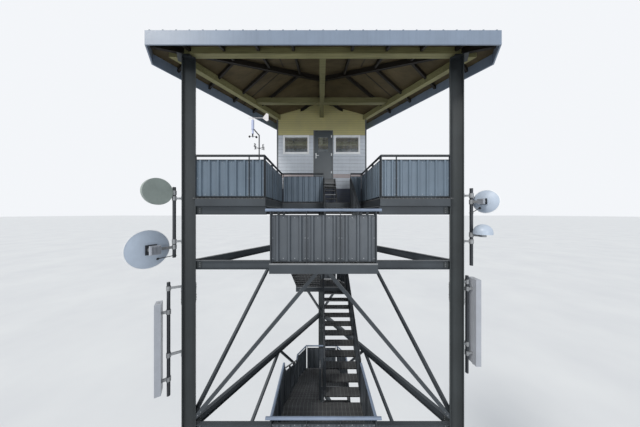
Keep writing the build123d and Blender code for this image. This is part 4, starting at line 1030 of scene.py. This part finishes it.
class LOOKOUT_OT_stage(Operator):
    """Set up the floor, the sky, two soft suns and the camera"""
    bl_idname = "lookout.stage"
    bl_label = "Stage"

    def execute(self, context):
        s = settings("stage")
        steps = (-s.floor, 0, s.floor)
        mesh = bpy.data.meshes.new("floor")
        mesh.from_pydata([(x, y, -0.001) for y in steps for x in steps], [],
                         [[0, 1, 4, 3], [1, 2, 5, 4], [3, 4, 7, 6], [4, 5, 8, 7]])
        mesh.materials.append(self.floor_finish())
        floor = placed("floor", mesh)
        self.sky(s.sky)
        for name, energy, colour, rise, turn in (("sun", s.sun, (1.0, 0.97, 0.92), 48, -50),
                                                 ("fill", s.fill, (0.94, 0.97, 1.0), 84, 12)):
            lamp = bpy.data.lights.new(name, "SUN")
            lamp.energy = energy
            lamp.angle = math.radians(14)
            lamp.color = colour
            placed(name, lamp).rotation_euler = (math.radians(rise), 0, math.radians(turn))
        data = bpy.data.cameras.new("camera")
        data.angle = s.view
        data.clip_start, data.clip_end = 0.05, 2.0 * s.floor
        camera = placed("camera", data)
        camera.location = (-0.07, LEG_RIGHT[1] - s.back, s.eye)
        camera.rotation_euler = (math.radians(90), 0, 0)
        context.scene.camera = camera
        context.scene.view_settings.view_transform = "Standard"
        return {"FINISHED"}

    def floor_finish(self):
        """Pale floor: near white with faint cloudiness."""
        material, coords = nodes_of("floor_pale")
        cloud = spread(noise(coords, 0.05, 3.0), 0.3, 0.7)
        return finished(material, blend(cloud, (0.72, 0.73, 0.75), (0.78, 0.79, 0.80)), 0.9)

    def sky(self, strength):
        """White to the camera, to gloss and through glass; a softer light on the object."""
        bpy.context.scene.world = world = bpy.data.worlds.new("pale_sky")
        world.use_nodes = True
        tree = world.node_tree
        light = fill(tree.nodes["Background"], Color=(0.90, 0.95, 1.0), Strength=strength)
        seen = new(tree, "Background", Color=(0.90, 0.92, 0.95), Strength=1.0)
        path = new(tree, "LightPath").outputs
        direct = maths("MAXIMUM", path["Is Camera Ray"], path["Is Glossy Ray"])
        direct = maths("MAXIMUM", direct, path["Is Transmission Ray"])
        mix = new(tree, "MixShader", Fac=direct)
        feed(light.outputs[0], mix.inputs[1])
        feed(seen.outputs[0], mix.inputs[2])
        fill(tree.nodes["World Output"], Surface=mix.outputs[0])


OPERATORS = (LOOKOUT_OT_finishes, LOOKOUT_OT_sheets, LOOKOUT_OT_cladding, LOOKOUT_OT_roof,
             LOOKOUT_OT_steel, LOOKOUT_OT_fittings, LOOKOUT_OT_stage)


class LOOKOUT_PT_sidebar(Panel):
    """Buttons for the tower's pieces, with their sizes and colours"""
    bl_label = "Fire lookout tower"
    bl_idname = "LOOKOUT_PT_sidebar"
    bl_space_type = "VIEW_3D"
    bl_region_type = "UI"
    bl_category = "Lookout"

    def draw(self, context):
        for operator in OPERATORS:
            self.layout.operator(operator.bl_idname)
        for name, group in GROUPS.items():
            box = self.layout.box()
            box.label(text=group.__doc__)
            for key in group.__annotations__:
                box.prop(settings(name), key)


def register():
    for name, group in GROUPS.items():
        bpy.utils.register_class(group)
        setattr(bpy.types.Scene, "lookout_" + name, PointerProperty(type=group))
    for item in (*OPERATORS, LOOKOUT_PT_sidebar):
        bpy.utils.register_class(item)


def unregister():
    for item in reversed((*OPERATORS, LOOKOUT_PT_sidebar)):
        bpy.utils.unregister_class(item)
    for name, group in reversed(GROUPS.items()):
        delattr(bpy.types.Scene, "lookout_" + name)
        bpy.utils.unregister_class(group)


def main():
    """Builds every piece."""
    register()
    for operator in OPERATORS:
        family, name = operator.bl_idname.split(".")
        getattr(getattr(bpy.ops, family), name)()


if __name__ == "__main__":
    main()
